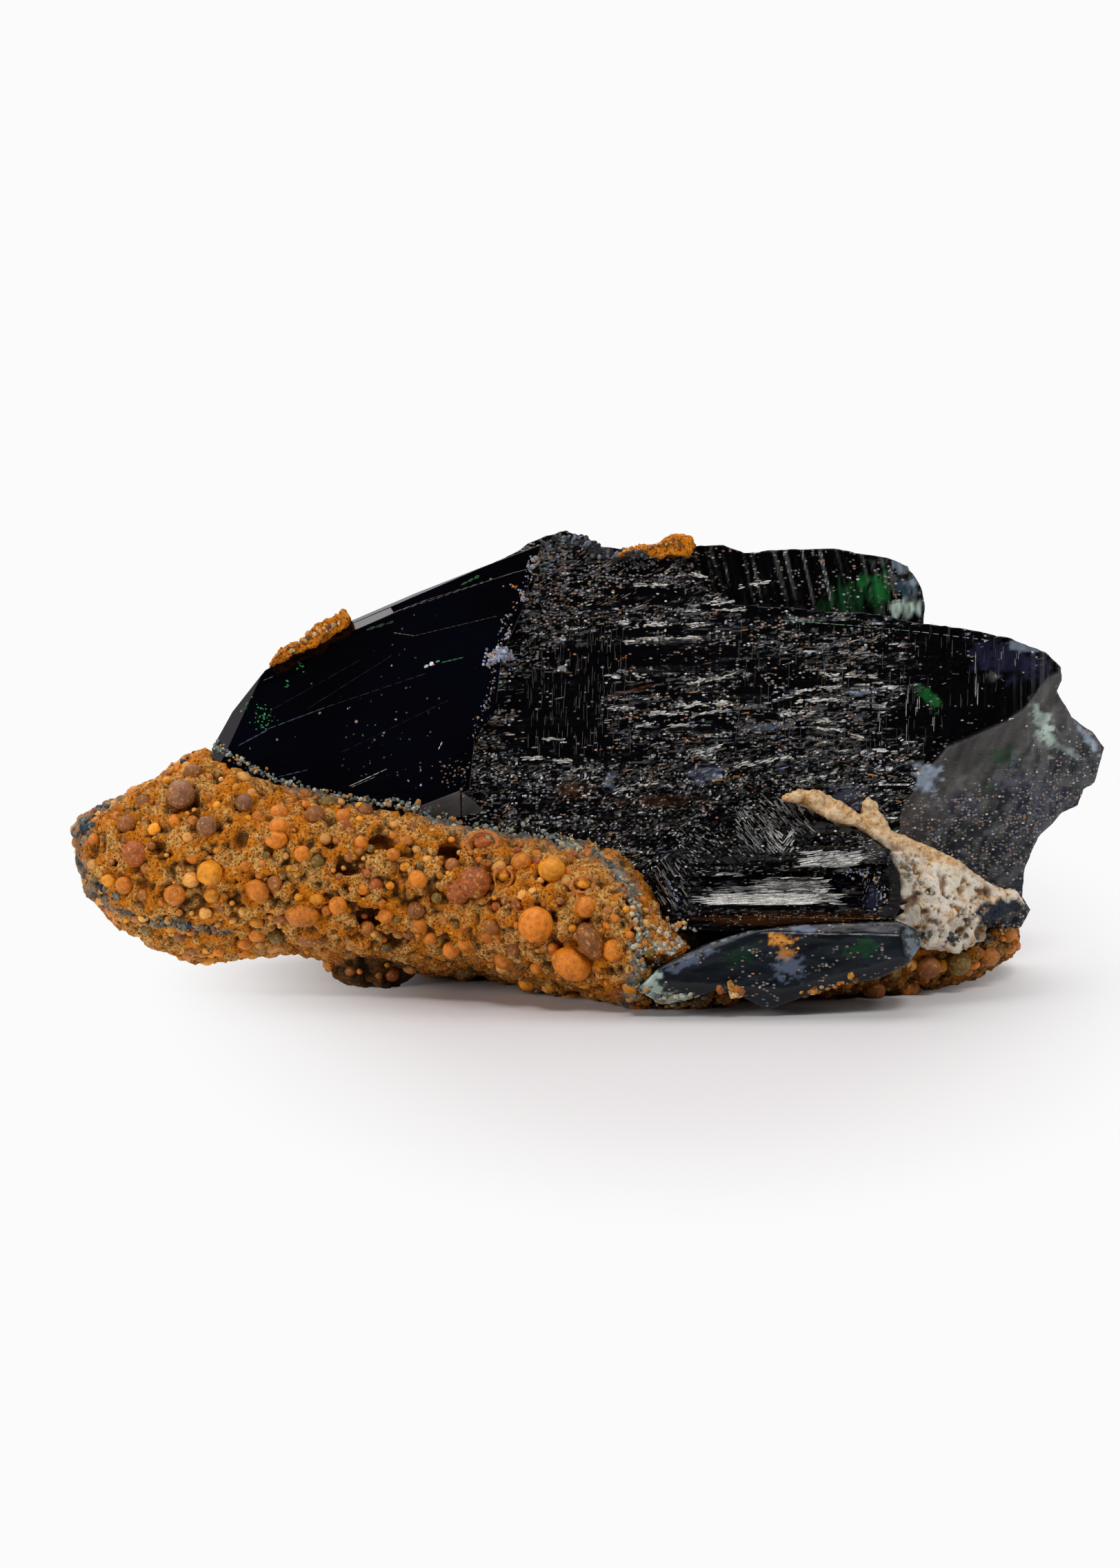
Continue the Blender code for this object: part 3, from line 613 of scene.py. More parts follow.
probe_a, probe_u = np.array([-20.0, 5.0, 45.0]), np.array([25.0, 25.0, 20.0])
print("blade", blade_depth(probe_a, probe_u).round(2), "slab", slab_front(probe_a, probe_u).round(2))

# %% [markdown]
# Colour on this specimen is local: a green glow where a sheet is thin, a pale scar, a smear of rust. Each patch
# is one row in the face frame: where, how wide and high, its turn, its shade and its strength. The rows are
# blended into a colour for every point of a skin, with grain to fray their edges, and the finish reads it.

# %% Shades and patches
SHADES = {
    "black": (0.0012, 0.0012, 0.0018), "green": (0.016, 0.150, 0.035), "leaf": (0.010, 0.062, 0.018),
    "teal": (0.035, 0.080, 0.110), "pale_green": (0.55, 0.70, 0.61), "pale_blue": (0.38, 0.46, 0.58),
    "violet": (0.022, 0.023, 0.055), "slate": (0.014, 0.018, 0.024), "grey": (0.080, 0.074, 0.072),
    "blue_grey": (0.13, 0.16, 0.24), "amber": (0.72, 0.30, 0.05), "rust": (0.085, 0.030, 0.010),
    "painted_sheen": (0.52, 0.50, 0.46), "cream": (0.62, 0.49, 0.34),
}


def blended(colours, weight, shade):
    colours[:, :3] += weight[:, None] * (np.array(SHADES[shade]) - colours[:, :3])


def patched(points, colours, patches, fray=0.55, size=0.7, seed=90):
    """Blends the patches into the colours of points that are given in the face frame."""
    ragged_by = fray * layers(points, size, seed)
    for across, up, half_width, half_height, turn, shade, strength in patches:
        cos, sin = math.cos(math.radians(turn)), math.sin(math.radians(turn))
        da, du = points[:, 0] - across, points[:, 2] - up
        reach = np.hypot((da * cos + du * sin) / half_width, (du * cos - da * sin) / half_height)
        blended(colours, strength * (1 - eased(reach + ragged_by, 0.55, 1.15)), shade)
    return colours


def streaked(colours, points, size, seed, low=0.35):
    """Dims and lifts the colours in streaks, so that no patch is flat."""
    colours[:, :3] *= np.clip(low + (1.15 - low) * (0.5 + 0.9 * layers(points, size, seed, 2)), 0.15, 1.3)[:, None]
    return colours


def soiled_sides(mesh, colours):
    """Lays dust on a block's cut sides, which would else mirror the lights as no broken edge does."""
    sides = [v for polygon in mesh.polygons if abs(polygon.normal.y) < 0.04 for v in polygon.vertices]
    colours[sides, :3] = SHADES["slate"]
    colours[sides, 3] = 0.45
    dull = np.zeros((len(colours), 4))
    dull[sides] = 1.0
    paint(mesh, "dull", dull)
    return colours


def plain_colours(points, shade, dust):
    colours = np.empty((len(points), 4))
    colours[:, :3] = SHADES[shade]
    colours[:, 3] = dust
    return colours


# %% [markdown]
# Vivianite turns black in light, yet its cleavage keeps a pearly gleam. The striated finish is black and glossy,
# stretched along the fibres by its bump, and dusted with grains of rust and blue earth, with near-white grains among
# them that are painted glints. Each grain is a Voronoi cell that is painted only where the dust, stored with the skin's
# colours, is thick enough.

# %% Striated vivianite
def dust_and_glint_grains(tree, body, dust, scale=(3.0, 3.0, 5.2)):
    """The body colour, with a grain in each small cell that the dust reaches; the near-white grains are painted glints.
    """
    where = laid_out(tree, scale)
    pick = put(tree, "ShaderNodeSeparateColor", [("Color", cells_at(tree, where, 1.0, "Color"))])
    near = put(tree, "ShaderNodeMapRange", [("Value", cells_at(tree, where, 1.0)), ("From Min", 0.62)])
    near.inputs["From Max"].default_value = 0.25
    # Rust, brown, grey and blue grains are dust; the near-white ones are painted glints.
    kind = stepped(tree, pick.outputs["Green"], [
        (0.0, (0.10, 0.075, 0.055)), (0.28, (0.20, 0.15, 0.10)), (0.45, (0.13, 0.14, 0.17)),
        (0.62, (0.33, 0.30, 0.27)), (0.78, (0.36, 0.13, 0.03)), (0.86, (0.16, 0.20, 0.36)), (0.97, (0.66, 0.66, 0.62)),
    ])
    there = sums(tree, "LESS_THAN", pick.outputs["Red"], dust)
    amount = sums(tree, "MULTIPLY", there, near.outputs["Result"])
    return mixed(tree, amount, body, kind), amount


def striated_vivianite(name, mirror=0.5, stretch=(0.35, 1.0, 6.0), turn=0.0):
    """Black, glossy fibres under dust. mirror is how strongly it mirrors, stretch and turn lay the fibres."""
    material, tree = new_finish(name, 1.6, mirror=mirror)
    colour, grains = dust_and_glint_grains(tree, tone(tree, "tint"), tone(tree, "tint", "Alpha"))
    threads = cloudy(tree, laid_out(tree, stretch, turn), 2.0, 4.0, 0.65)
    gloss = stepped(tree, threads, [(0.30, 0.08), (0.75, 0.20)])
    worn = mixed(tree, tone(tree, "dull", "Fac"), gloss, (0.75, 0.75, 0.75))
    return wired(material, colour, bumped(tree, threads, 0.05, 0.3), mixed(tree, grains, worn, (0.8, 0.8, 0.8)))


fibrous = striated_vivianite("fibrous_vivianite")
slaty = striated_vivianite("slaty_vivianite", mirror=0.2)
upright = striated_vivianite("upright_fibres", stretch=(5.0, 1.0, 0.30), turn=-12.0)

# %% [markdown]
# The striated slab is the specimen's face. One dense skin carries its steps, its splinters and the hackly chips
# lower down. A grid of about a fifth of a millimetre is fine enough for the splinters' glints, and only the face
# is that fine: the block is closed behind by one plain face, and a coarser skin covers its back.

# %% The striated slab
SLAB_OUTLINE = [
    (-16.0, 6.0), (-14.0, 34.0), (-10.2, 40.0), (-4.2, 43.2), (-2.3, 43.6), (-0.3, 43.1), (1.1, 42.2),
    (4.4, 41.8), (7.6, 41.0), (10.8, 38.4), (14.0, 36.5), (19.0, 36.2), (22.9, 35.9), (26.9, 35.7),
    (32.2, 34.7), (36.2, 34.3), (40.8, 33.3), (44.2, 32.0), (45.8, 30.6), (45.7, 29.2), (45.3, 28.2),
    (46.8, 25.7), (48.8, 24.3), (50.0, 22.7), (49.4, 20.7), (49.0, 19.3), (47.9, 18.7), (47.4, 17.2),
    (45.8, 16.4), (43.5, 14.1), (42.2, 11.1), (41.8, 8.4), (42.6, 7.1), (41.8, 5.4), (38.9, 3.8),
    (34.0, 4.6), (20.0, 5.0), (4.0, 5.5),
]
SLAB_PATCHES = [
    (41.0, 31.2, 4.2, 2.0, -10, "violet", 0.7), (41.8, 32.5, 1.9, 0.45, -14, "pale_blue", 0.55),
    (38.8, 29.7, 0.7, 0.6, 0, "grey", 0.8), (32.8, 27.6, 1.5, 0.6, -42, "green", 0.75),
    (44.1, 24.8, 0.95, 2.3, 22, "pale_green", 0.75), (46.0, 22.7, 1.5, 0.5, -35, "pale_green", 0.35),
    (40.3, 22.0, 2.2, 1.0, -8, "leaf", 0.5), (41.2, 21.8, 0.5, 0.7, 0, "teal", 0.4),
    # The pale blue at (48.5, 23.6) is a painted highlight on the wing's tip.
    (48.5, 23.6, 0.45, 1.7, 38, "pale_blue", 0.75), (32.5, 19.8, 1.3, 1.35, 0, "pale_blue", 0.9),
    (38.7, 19.1, 0.5, 0.35, 0, "leaf", 0.7), (43.0, 18.2, 3.6, 2.2, -20, "violet", 0.7),
    (36.0, 17.4, 1.8, 1.2, 0, "violet", 0.6), (2.0, 19.5, 0.6, 0.9, 0, "blue_grey", 0.8),
    (11.4, 20.3, 1.8, 0.9, 10, "blue_grey", 0.6), (17.3, 24.7, 2.6, 0.35, 5, "blue_grey", 0.5),
    (26.1, 28.0, 1.8, 0.22, 2, "blue_grey", 0.9), (4.0, 28.2, 1.9, 0.12, 15, "rust", 0.9),
    (-1.7, 18.6, 1.6, 0.8, 0, "rust", 0.7),
    (25.0, 17.5, 2.4, 1.6, 0, "blue_grey", 0.25), (6.5, 17.6, 4.0, 0.6, 0, "rust", 0.4),
]


# How thick the dust lies on the slab's face. It also places painted glints: the near-white grains and the pale strewn
# slivers.
def slab_dust_and_glints(points):
    across, up = points[:, 0], points[:, 2]
    lit = 1 - quiet(points)
    hackly = eased(23.5 - up, 0.0, 3.0) * eased(33.0 - across, 0.0, 6.0)
    crest = eased(up - 35.0, 0.0, 2.5) * (1 - eased(across, 8.0, 16.0))
    dust = 0.01 + threads(points) * (0.04 + 0.46 * lit) * (1 - 0.35 * hackly)
    slanted = grain(points - np.outer(across, (0, 0, 0.45)), (2.0, 1.0, 0.6), 85)
    dust += hackly * (0.01 + 0.07 * lit) + crest * 0.28 * (0.6 + slanted)
    dust += 0.30 * (1 - eased(across, -8.5, -5.0)) * np.clip(0.5 + grain(points, (1.0, 1.0, 3.0), 82), 0, 1)
    dust *= 1 - 0.85 * left_band(across, up)
    dust *= 1 - 0.80 * eased(across, 26.0, 31.0) * eased(up, 21.0, 23.0)
    dust *= 1 - 0.8 * eased(below_rim(across, up), 0.0, 0.6) * eased(up, 18.5, 21.0)
    return np.clip(dust, 0.01, 0.9)


def slab_colours(points):
    colours = plain_colours(points, "black", slab_dust_and_glints(points))
    under = eased(below_rim(points[:, 0], points[:, 2]), -0.1, 0.5)
    lower = eased(below_rim(points[:, 0], points[:, 2]) + 2.0 * layers(points, 2.5, 86), 4.0, 9.0)
    # Painted reflection: the facet under the wing's rim is blended to grey, as the table mirrored in it looks; further
    # down it turns slate.
    blended(colours, under * (0.85 + 0.15 * layers(points, (0.7, 1.0, 3.0), 83)), "grey")
    blended(colours, under * lower * 0.85, "slate")
    colours[:, 3] += 0.25 * under * lower
    patched(points, colours, SLAB_PATCHES, fray=0.9, size=(0.7, 1.0, 0.45))
    return streaked(colours, points - np.outer(points[:, 2], (0.5, 0, 0)), (0.8, 1.0, 2.6), 87, 0.55)


SLAB_LOW, SLAB_HIGH = (-17.5, 3.2), (51.2, 44.6)
slab_mesh = cut_block(
    SLAB_LOW, SLAB_HIGH, (310, 232), slab_front, lambda a, u: slab_plane(a, u) + 2.6, SLAB_OUTLINE, 5)
paint(slab_mesh, "tint", soiled_sides(slab_mesh, slab_colours(points_of(slab_mesh))))
slab = place_piece("striated_slab", slab_mesh, fibrous)

# %% [markdown]
# The photograph doesn't show the back. It gets the coarse steps that the same cleavage makes, in a block of its
# own, so that the fine skin isn't spent on it.

# %% The slab's back
def back_relief(across, up):
    where = face_points(across, up)
    steps = shingles(across, up, 4.2, 14.0, -0.03, 201) * 0.7 + facets(across, up, (3.0, 1.0), 0.30, 0.5, 202)
    steps += facets(across, up + 0.1 * across, (1.1, 0.6), 0.12, 0.6, 205)
    return slab_back(across, up) - steps - 0.10 * grain(where, (0.6, 1.0, 7.0), 203)


back_mesh = cut_block(
    SLAB_LOW, SLAB_HIGH, (200, 120), back_relief, lambda a, u: slab_plane(a, u) + 2.2,
    [(a * 0.997, u - 0.1) for a, u in SLAB_OUTLINE], 6)
back_points = points_of(back_mesh)
back_tint = plain_colours(back_points, "black", np.clip(0.10 + 0.45 * threads(back_points), 0.02, 0.6))
paint(back_mesh, "tint", soiled_sides(back_mesh, patched(back_points, back_tint, [
    (36.0, 20.0, 5.0, 4.0, 0, "violet", 0.5), (10.0, 30.0, 3.0, 1.0, 10, "leaf", 0.4),
    (-4.0, 36.0, 2.0, 1.0, 20, "blue_grey", 0.25), (22.0, 12.0, 5.0, 1.2, 0, "rust", 0.35),
], fray=1.1, size=(0.9, 1.0, 0.4))))
place_piece("slab_back_sheets", back_mesh, slaty)

# %% [markdown]
# Behind the slab's upper edge stands a second crystal, set back by some millimetres. Its striations run nearly upright
# and lean a little to the right, and its thin right end is painted green: partly the crystal's colour, partly a painted
# glow of the light that comes through it.

# %% The upper ledge
LEDGE_OUTLINE = [
    (-7.0, 30.0), (-4.6, 42.4), (-2.3, 43.2), (1.1, 41.8), (4.4, 41.9), (6.8, 42.3), (9.0, 42.2),
    (13.0, 42.3), (15.0, 41.6), (19.5, 41.9), (23.6, 42.0), (28.9, 41.1), (30.8, 40.3), (31.5, 39.1),
    (32.1, 38.3), (32.5, 36.6), (32.3, 34.6), (30.0, 30.0),
]
LEDGE_PATCHES = [
    # The greens, teal and pale blue at the right end are partly a painted glow of the light that comes through the thin
    # crystal.
    (24.9, 36.9, 1.9, 1.9, 15, "leaf", 0.8), (22.6, 36.3, 0.8, 0.9, 15, "leaf", 0.6),
    (27.9, 37.6, 1.2, 2.2, 8, "green", 0.7), (27.0, 39.0, 1.3, 0.5, 20, "green", 0.6),
    (30.4, 36.2, 2.1, 0.85, 8, "pale_green", 0.95), (31.0, 38.1, 1.1, 0.9, 0, "teal", 0.85),
    (31.3, 38.7, 0.7, 0.3, 0, "pale_blue", 0.7), (30.0, 40.4, 1.0, 0.65, -25, "pale_blue", 0.5),
    (28.6, 36.3, 0.7, 0.9, 0, "black", 0.7), (-4.0, 40.9, 1.5, 1.0, 0, "pale_green", 0.45),
    (-3.4, 42.8, 1.3, 0.25, 20, "pale_blue", 0.5), (2.0, 40.6, 2.4, 0.7, 0, "blue_grey", 0.5),
]


def ledge_colours(points):
    across, up = points[:, 0], points[:, 2]
    dust = 0.10 + 0.12 * grain(points, (0.7, 1.0, 5.0), 84) + 0.40 * (1 - eased(across, 6.0, 13.0))
    colours = plain_colours(points, "black", np.clip(dust, 0.02, 0.8))
    patched(points, colours, LEDGE_PATCHES, fray=0.9, size=(0.30, 1.0, 1.8))
    return streaked(colours, points + np.outer(points[:, 2], (0.22, 0, 0)), (0.30, 1.0, 2.4), 88, 0.20)


ledge_mesh = cut_block(
    (-8.4, 29.0), (33.6, 44.4), (210, 84), ledge_front, lambda a, u: 9.0 - 0.20 * (u - 12.0), LEDGE_OUTLINE, 7)
paint(ledge_mesh, "tint", soiled_sides(ledge_mesh, ledge_colours(points_of(ledge_mesh))))
place_piece("upper_ledge", ledge_mesh, upright)

# %% [markdown]
# The smooth blade is two sheets, one behind the other, each a plate cut by a few planes. It is so glossy that it
# shows only what it mirrors, so its planes stay truly flat. A narrow bevel softens the edges, hairline
# scratches run along the cleavage, and a little dust breaks the black.

# %% The smooth blade
def polished_vivianite():
    material, tree = new_finish("polished_vivianite", 1.6)
    body = stepped(tree, cloudy(tree, laid_out(tree), 0.10), [
        (0.40, (0.0010, 0.0010, 0.0018)), (0.75, (0.0014, 0.0016, 0.0045))])
    dust = stepped(tree, cloudy(tree, laid_out(tree), 0.35, 4.0), [(0.52, 0.0), (0.85, 0.12)])
    colour, grains = dust_and_glint_grains(tree, body, dust, (3.4, 3.4, 3.4))
    hairs = cloudy(tree, laid_out(tree, (0.10, 1.0, 5.0), 22.0), 2.0, 3.0)
    gloss = stepped(tree, hairs, [(0.42, 0.05), (0.72, 0.17)])
    worn = mixed(tree, tone(tree, "dull", "Fac"), gloss, (0.7, 0.7, 0.7))
    return wired(material, colour, bumped(tree, hairs, 0.012, 0.6), mixed(tree, grains, worn, (0.7, 0.7, 0.7)))


BLADE_OUTLINE = [
    (-36.4, 22.6), (-34.4, 26.2), (-31.2, 30.2), (-27.5, 32.4), (-23.1, 34.6), (-16.8, 37.3),
    (-10.4, 39.8), (-4.6, 42.0), (-6.4, 36.0), (-8.4, 31.5), (-8.9, 27.0), (-11.0, 23.4),
    (-11.4, 19.5), (-12.6, 8.0), (-34.0, 8.0),
]


def cut_by_plane(bm, point, outward):
    geometry = bm.verts[:] + bm.edges[:] + bm.faces[:]
    cut = bmesh.ops.bisect_plane(bm, geom=geometry, dist=1e-4, plane_co=point, plane_no=outward, clear_outer=True)
    rim = [g for g in cut["geom_cut"] if isinstance(g, bmesh.types.BMEdge)]
    if rim:
        bmesh.ops.holes_fill(bm, edges=rim, sides=0)


def blade_sheet(outline, setback, rise, bevel_line):
    """One sheet of the blade, glossy in front and worn behind. bevel_line runs along the foot of its top bevel."""
    bm = plate(outline, -30.0, 3.4)
    for point, outward in blade_planes(setback, rise):
        cut_by_plane(bm, point, outward)
    ends = [Vector((a, float(blade_depth(a, u, setback, rise)), u)) for a, u in bevel_line]
    along = (ends[1] - ends[0]).normalized()
    cut_by_plane(bm, ends[0], Vector((-0.10, -0.52, 0.80)).cross(along).cross(along) * -1)
    cut_by_plane(bm, (-34.6, -4.3 + setback, 24.6 + rise), (-0.80, -0.42, 0.42))
    bmesh.ops.recalc_face_normals(bm, faces=bm.faces)
    sharp = [e for e in bm.edges if e.is_manifold and e.calc_face_angle(0.0) > math.radians(12)]
    bmesh.ops.bevel(
        bm, geom=sharp, offset=0.05, offset_type="OFFSET", segments=1, profile=0.5, material=-1,
        affect="EDGES", clamp_overlap=True)
    mesh = mesh_of("sheet", bm)
    paint(mesh, "dull", np.repeat((points_of(mesh)[:, 1:2] > 2.0) * 1.0, 4, axis=1))
    return mesh


FRONT_SHEET_TOP = [(-27.5, 32.25), (-23.0, 34.6), (-19.1, 36.25), (-18.8, 35.75), (-7.4, 39.55), (-5.6, 40.0)]
front_outline = BLADE_OUTLINE[:3] + FRONT_SHEET_TOP + BLADE_OUTLINE[8:]
rear_outline = [(a, u + (0.30 if u > 32.0 else 0.0)) for a, u in BLADE_OUTLINE]
polished = polished_vivianite()
place_piece("blade_front_sheet", blade_sheet(
    front_outline, 0.0, -0.45, [(-27.4, 31.95), (-19.4, 35.45)]), polished)
place_piece("blade_rear_sheet", blade_sheet(
    rear_outline, 1.3, 0.45, [(-23.1, 34.62), (-16.8, 37.32)]), polished)

# %% [markdown]
# The blade's back is guessed too: the sheets' edges, stepped along the blade and dusted like the slab's back.

# %% The blade's back
def blade_back(across, up):
    where = face_points(across, up)
    slanted = up - 0.4 * across
    steps = 0.8 * shingles(across, slanted, 5.0, 16.0, 0.0, 211) + facets(across, slanted, (2.6, 0.8), 0.20, 0.4, 213)
    return 7.6 - 0.16 * (up - 12.0) - steps - 0.10 * layers(where, 2.0, 212)


blade_back_mesh = cut_block(
    (-37.5, 7.0), (-3.0, 43.4), (130, 130), blade_back, lambda a, u: np.full_like(a, 3.2),
    [(a + 0.35, u - 0.30) for a, u in BLADE_OUTLINE], 8)
blade_back_points = points_of(blade_back_mesh)
blade_back_dust = np.clip(0.06 + 0.30 * threads(blade_back_points), 0.02, 0.5)
paint(blade_back_mesh, "tint", soiled_sides(blade_back_mesh, patched(
    blade_back_points, plain_colours(blade_back_points, "black", blade_back_dust),
    [(-20.0, 30.0, 3.0, 0.8, 22, "leaf", 0.4), (-26.0, 18.0, 3.0, 1.5, 0, "rust", 0.35)], fray=1.1,
    size=(0.9, 1.0, 0.4))))
place_piece("blade_back_sheets", blade_back_mesh, slaty)
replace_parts(slab, "main_crystal")

# %% [markdown]
# The ironstone is a sponge of ochre cement packed with ooids, the little balls that give oolitic ore its name.
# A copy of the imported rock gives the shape. It is remeshed to an even skin of small quads, smoothed, and then
# roughened by several sizes of grain, with pores sunk in and a moat round each ball.

# %% Remeshed copies
def remeshed(node_name, pitch, smoothing):
    """An even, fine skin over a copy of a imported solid, in the face frame and millimetres."""
    bm = bmesh.new()
    bm.from_mesh(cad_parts[node_name].data)
    bmesh.ops.remove_doubles(bm, verts=bm.verts, dist=1e-6)
    copy = linked(node_name + "_copy", mesh_of(node_name + "_copy", bm))
    even = copy.modifiers.new("even", "REMESH")
    even.mode, even.voxel_size = "VOXEL", pitch * 0.001
    soft = copy.modifiers.new("soft", "SMOOTH")
    soft.factor, soft.iterations = 0.5, smoothing
    mesh = made_real(copy)
    set_points(mesh, to_face(points_of(mesh)))
    return mesh


def tree_of(meshes):
    bm = bmesh.new()
    for mesh in meshes:
        bm.from_mesh(mesh)
    tree = BVHTree.FromBMesh(bm)
    bm.free()
    return tree


def seen_place(tree, across, up):
    """Where the line of sight through a place of the face meets a surface."""
    return tree.ray_cast(Vector((across, -60.0, up)), Vector((0, 1, 0)))[:2]


rock_mesh = remeshed("ironstone_matrix", 0.37, 8)
bare_rock = tree_of([rock_mesh])
print("rock skin has", len(rock_mesh.vertices), "points")

# %% [markdown]
# The balls that the photograph shows are listed one by one: across, up, half width, half height, turn and tone.
# Fifteen hundred small ones fill the cement between them and cover the back, at random places that keep clear of
# each other. The listed balls are finer and make one mesh, the small ones have eighty faces each and make another.

# %% Places of the ooids
SEEN_OOIDS = [
    (-5.1, 5.8, 1.66, 1.66, 0, 0), (-6.5, 11.7, 0.93, 0.93, 0, 0), (-0.3, 7.5, 0.99, 0.99, 0, 0),
    (0.1, 4.2, 1.13, 1.86, 25, 2), (-1.7, 2.0, 1.92, 1.46, -30, 0), (-13.2, 3.4, 0.86, 0.86, 0, 0),
    (-11.9, 4.0, 0.73, 0.73, 0, 0), (-8.1, 2.4, 0.93, 0.93, 0, 0), (-7.2, 3.4, 0.66, 0.66, 0, 2),
    (-20.4, 9.6, 0.66, 0.66, 0, 3), (-16.4, 10.1, 0.93, 0.93, 0, 0), (-21.9, 13.6, 0.66, 0.66, 0, 0),
    (-18.8, 12.4, 0.66, 0.66, 0, 0), (-16.6, 14.9, 0.73, 0.73, 0, 2), (-16.6, 7.1, 0.86, 0.80, 0, 2),
    (-9.3, 5.6, 0.73, 0.73, 0, 2), (-16.4, 5.7, 0.86, 0.80, 0, 0), (-11.3, 6.8, 0.73, 0.73, 0, 0),
    (-24.1, 7.6, 0.86, 0.86, 0, 0), (-5.9, 0.1, 0.86, 0.73, 0, 1), (-3.6, -0.1, 0.66, 0.66, 0, 1),
    (-1.7, -1.2, 0.99, 0.73, -10, 1), (-14.0, 2.0, 0.66, 0.66, 0, 0), (-5.0, 1.6, 0.66, 0.66, 0, 0),
    (2.3, 3.3, 0.93, 1.06, 0, 0), (-11.9, 1.5, 0.99, 0.86, 0, 5), (-39.2, 18.2, 1.33, 1.33, 0, 4),
    (-36.7, 15.2, 0.99, 0.93, 0, 4), (-43.6, 12.5, 1.26, 1.26, 0, 3), (-36.4, 10.7, 1.19, 1.19, 0, 1),
    (-31.8, 9.0, 1.19, 0.99, -30, 0), (-27.5, 6.6, 1.59, 1.06, -5, 0), (-30.0, 13.9, 1.06, 0.86, 0, 0),
    (-29.8, 15.2, 0.93, 0.80, 0, 0), (-27.5, 12.5, 0.80, 0.80, 0, 0), (-33.1, 17.4, 0.86, 0.86, 0, 4),
    (-29.8, 16.4, 0.93, 0.80, 0, 0), (-26.3, 16.2, 0.99, 0.93, 0, 2), (-23.6, 16.1, 0.73, 0.73, 0, 0),
    (-33.0, 11.3, 0.60, 0.60, 0, 0), (-39.8, 8.6, 1.06, 0.99, 0, 0), (-44.7, 9.5, 0.86, 0.86, 0, 0),
    (-26.5, 4.4, 1.39, 0.86, 0, 2), (-35.7, 3.2, 0.53, 0.53, 0, 0), (-32.0, 4.8, 0.73, 0.73, 0, 0),
    (-42.8, 17.5, 0.80, 0.73, 0, 2), (-44.4, 15.4, 0.99, 0.86, 0, 2), (-38.1, 20.3, 0.93, 0.80, 0, 2),
    (-31.8, 16.1, 0.60, 0.60, 0, 0), (-11.0, 9.8, 1.50, 1.45, 0, 3), (-12.5, 8.8, 1.15, 1.05, 0, 3),
    (-10.2, 13.7, 0.95, 0.75, 0, 3),
    (-0.6, 9.7, 0.65, 0.45, 0, 1), (-8.2, 10.4, 0.55, 0.50, 0, 1), (-3.6, 11.1, 1.25, 1.20, 0, 1),
    (13.3, -0.9, 1.30, 1.05, 0, 1), (22.8, -1.2, 1.00, 0.80, 0, 2), (27.4, -0.7, 1.10, 0.85, 0, 2),
    (30.8, -0.5, 1.00, 0.90, 0, 7), (32.6, 1.6, 1.20, 1.05, 0, 2), (35.6, 2.0, 1.15, 1.15, 0, 5),
    (34.4, -0.3, 1.05, 0.95, 0, 2), (38.6, 2.6, 0.95, 0.90, 0, 7), (29.2, 1.2, 0.9, 0.8, 0, 5),
    (37.2, 0.6, 0.9, 0.8, 0, 1), (24.8, 0.1, 0.7, 0.6, 0, 1), (20.8, -1.5, 0.7, 0.6, 0, 0),
]
BROKEN_RINGS = [(-10.2, 13.6, 1.45, 1.05, 10), (-0.6, 9.6, 1.15, 0.75, 5), (-8.2, 10.3, 0.90, 0.85, 0)]
PITS = [
    (-13.3, 12.7, 1.15, 1.15), (-23.0, 11.2, 1.35, 0.75), (-21.1, 6.6, 1.20, 1.15), (-18.4, 4.3, 1.45, 0.80),
    (-30.0, 4.7, 0.85, 0.80), (-20.0, 13.6, 1.20, 0.80), (-41.6, 13.1, 0.7, 0.7), (-37.2, 7.0, 1.6, 0.5),
    (-39.2, 18.2, 1.75, 1.7), (-33.5, 13.6, 0.7, 0.6), (-24.8, 13.6, 0.7, 0.6), (-14.8, 8.2, 0.8, 0.7),
    (-9.0, 7.8, 0.8, 0.6), (-2.6, 8.4, 0.7, 0.6), (-3.4, 4.2, 0.6, 0.7), (-43.0, 9.6, 0.7, 0.6),
]


SMALL_OOIDS = 1500


def seen_balls():
    made = []
    for across, up, half_width, half_height, turn, kind in SEEN_OOIDS:
        place, _ = seen_place(bare_rock, across, up)
        if place is not None:
            centre = place + Vector((0, 0.52 * min(half_width, half_height), 0))
            made.append((centre, half_width * 1.04, half_height * 1.04, turn, kind))
    return made


def strewn_balls(taken, count, crystals):
    """Small balls at random on bare rock, clear of the crystals and of each other."""
    rng = random.Random(21)
    points, normals = points_of(rock_mesh), normals_of(rock_mesh)
    centres = np.array([c[:] for c, *_ in taken])
    reach = np.array([max(w, h) for _, w, h, *_ in taken])
    made = []
    for _ in range(count * 14):
        if len(made) == count:
            break
        index = rng.randrange(len(points))
        place, normal = points[index], normals[index]
        radius = 0.24 + 0.66 * rng.random() ** 1.8 if place[1] < 4.0 else 0.32 + 0.95 * rng.random() ** 1.4
        if to_part(place[None])[0][2] < 0.0006 or np.any(
                np.linalg.norm(centres - place, axis=1) < (reach + radius) * 0.86):
            continue
        if crystals.find_nearest(Vector(place), radius + 0.55)[0] is not None:
            continue
        centre = Vector(place - normal * radius * rng.uniform(0.2, 0.7))
        kind = rng.choice((0, 0, 0, 1, 1, 2, 2, 3, 5, 6, 6, 6, 7, 7))
        made.append((centre, radius, radius * rng.uniform(0.78, 1.0), rng.uniform(-40, 40), kind))
        centres = np.vstack([centres, place])
        reach = np.append(reach, radius)
    return made


crystal_tree = tree_of([remeshed(name, 0.8, 0) for name in ("main_crystal", "stub_crystal", "front_blade",
                                                            "shell_fossil")])
listed = seen_balls()
small = strewn_balls(listed, SMALL_OOIDS, crystal_tree)
print(len(listed), "listed balls and", len(small), "small ones")

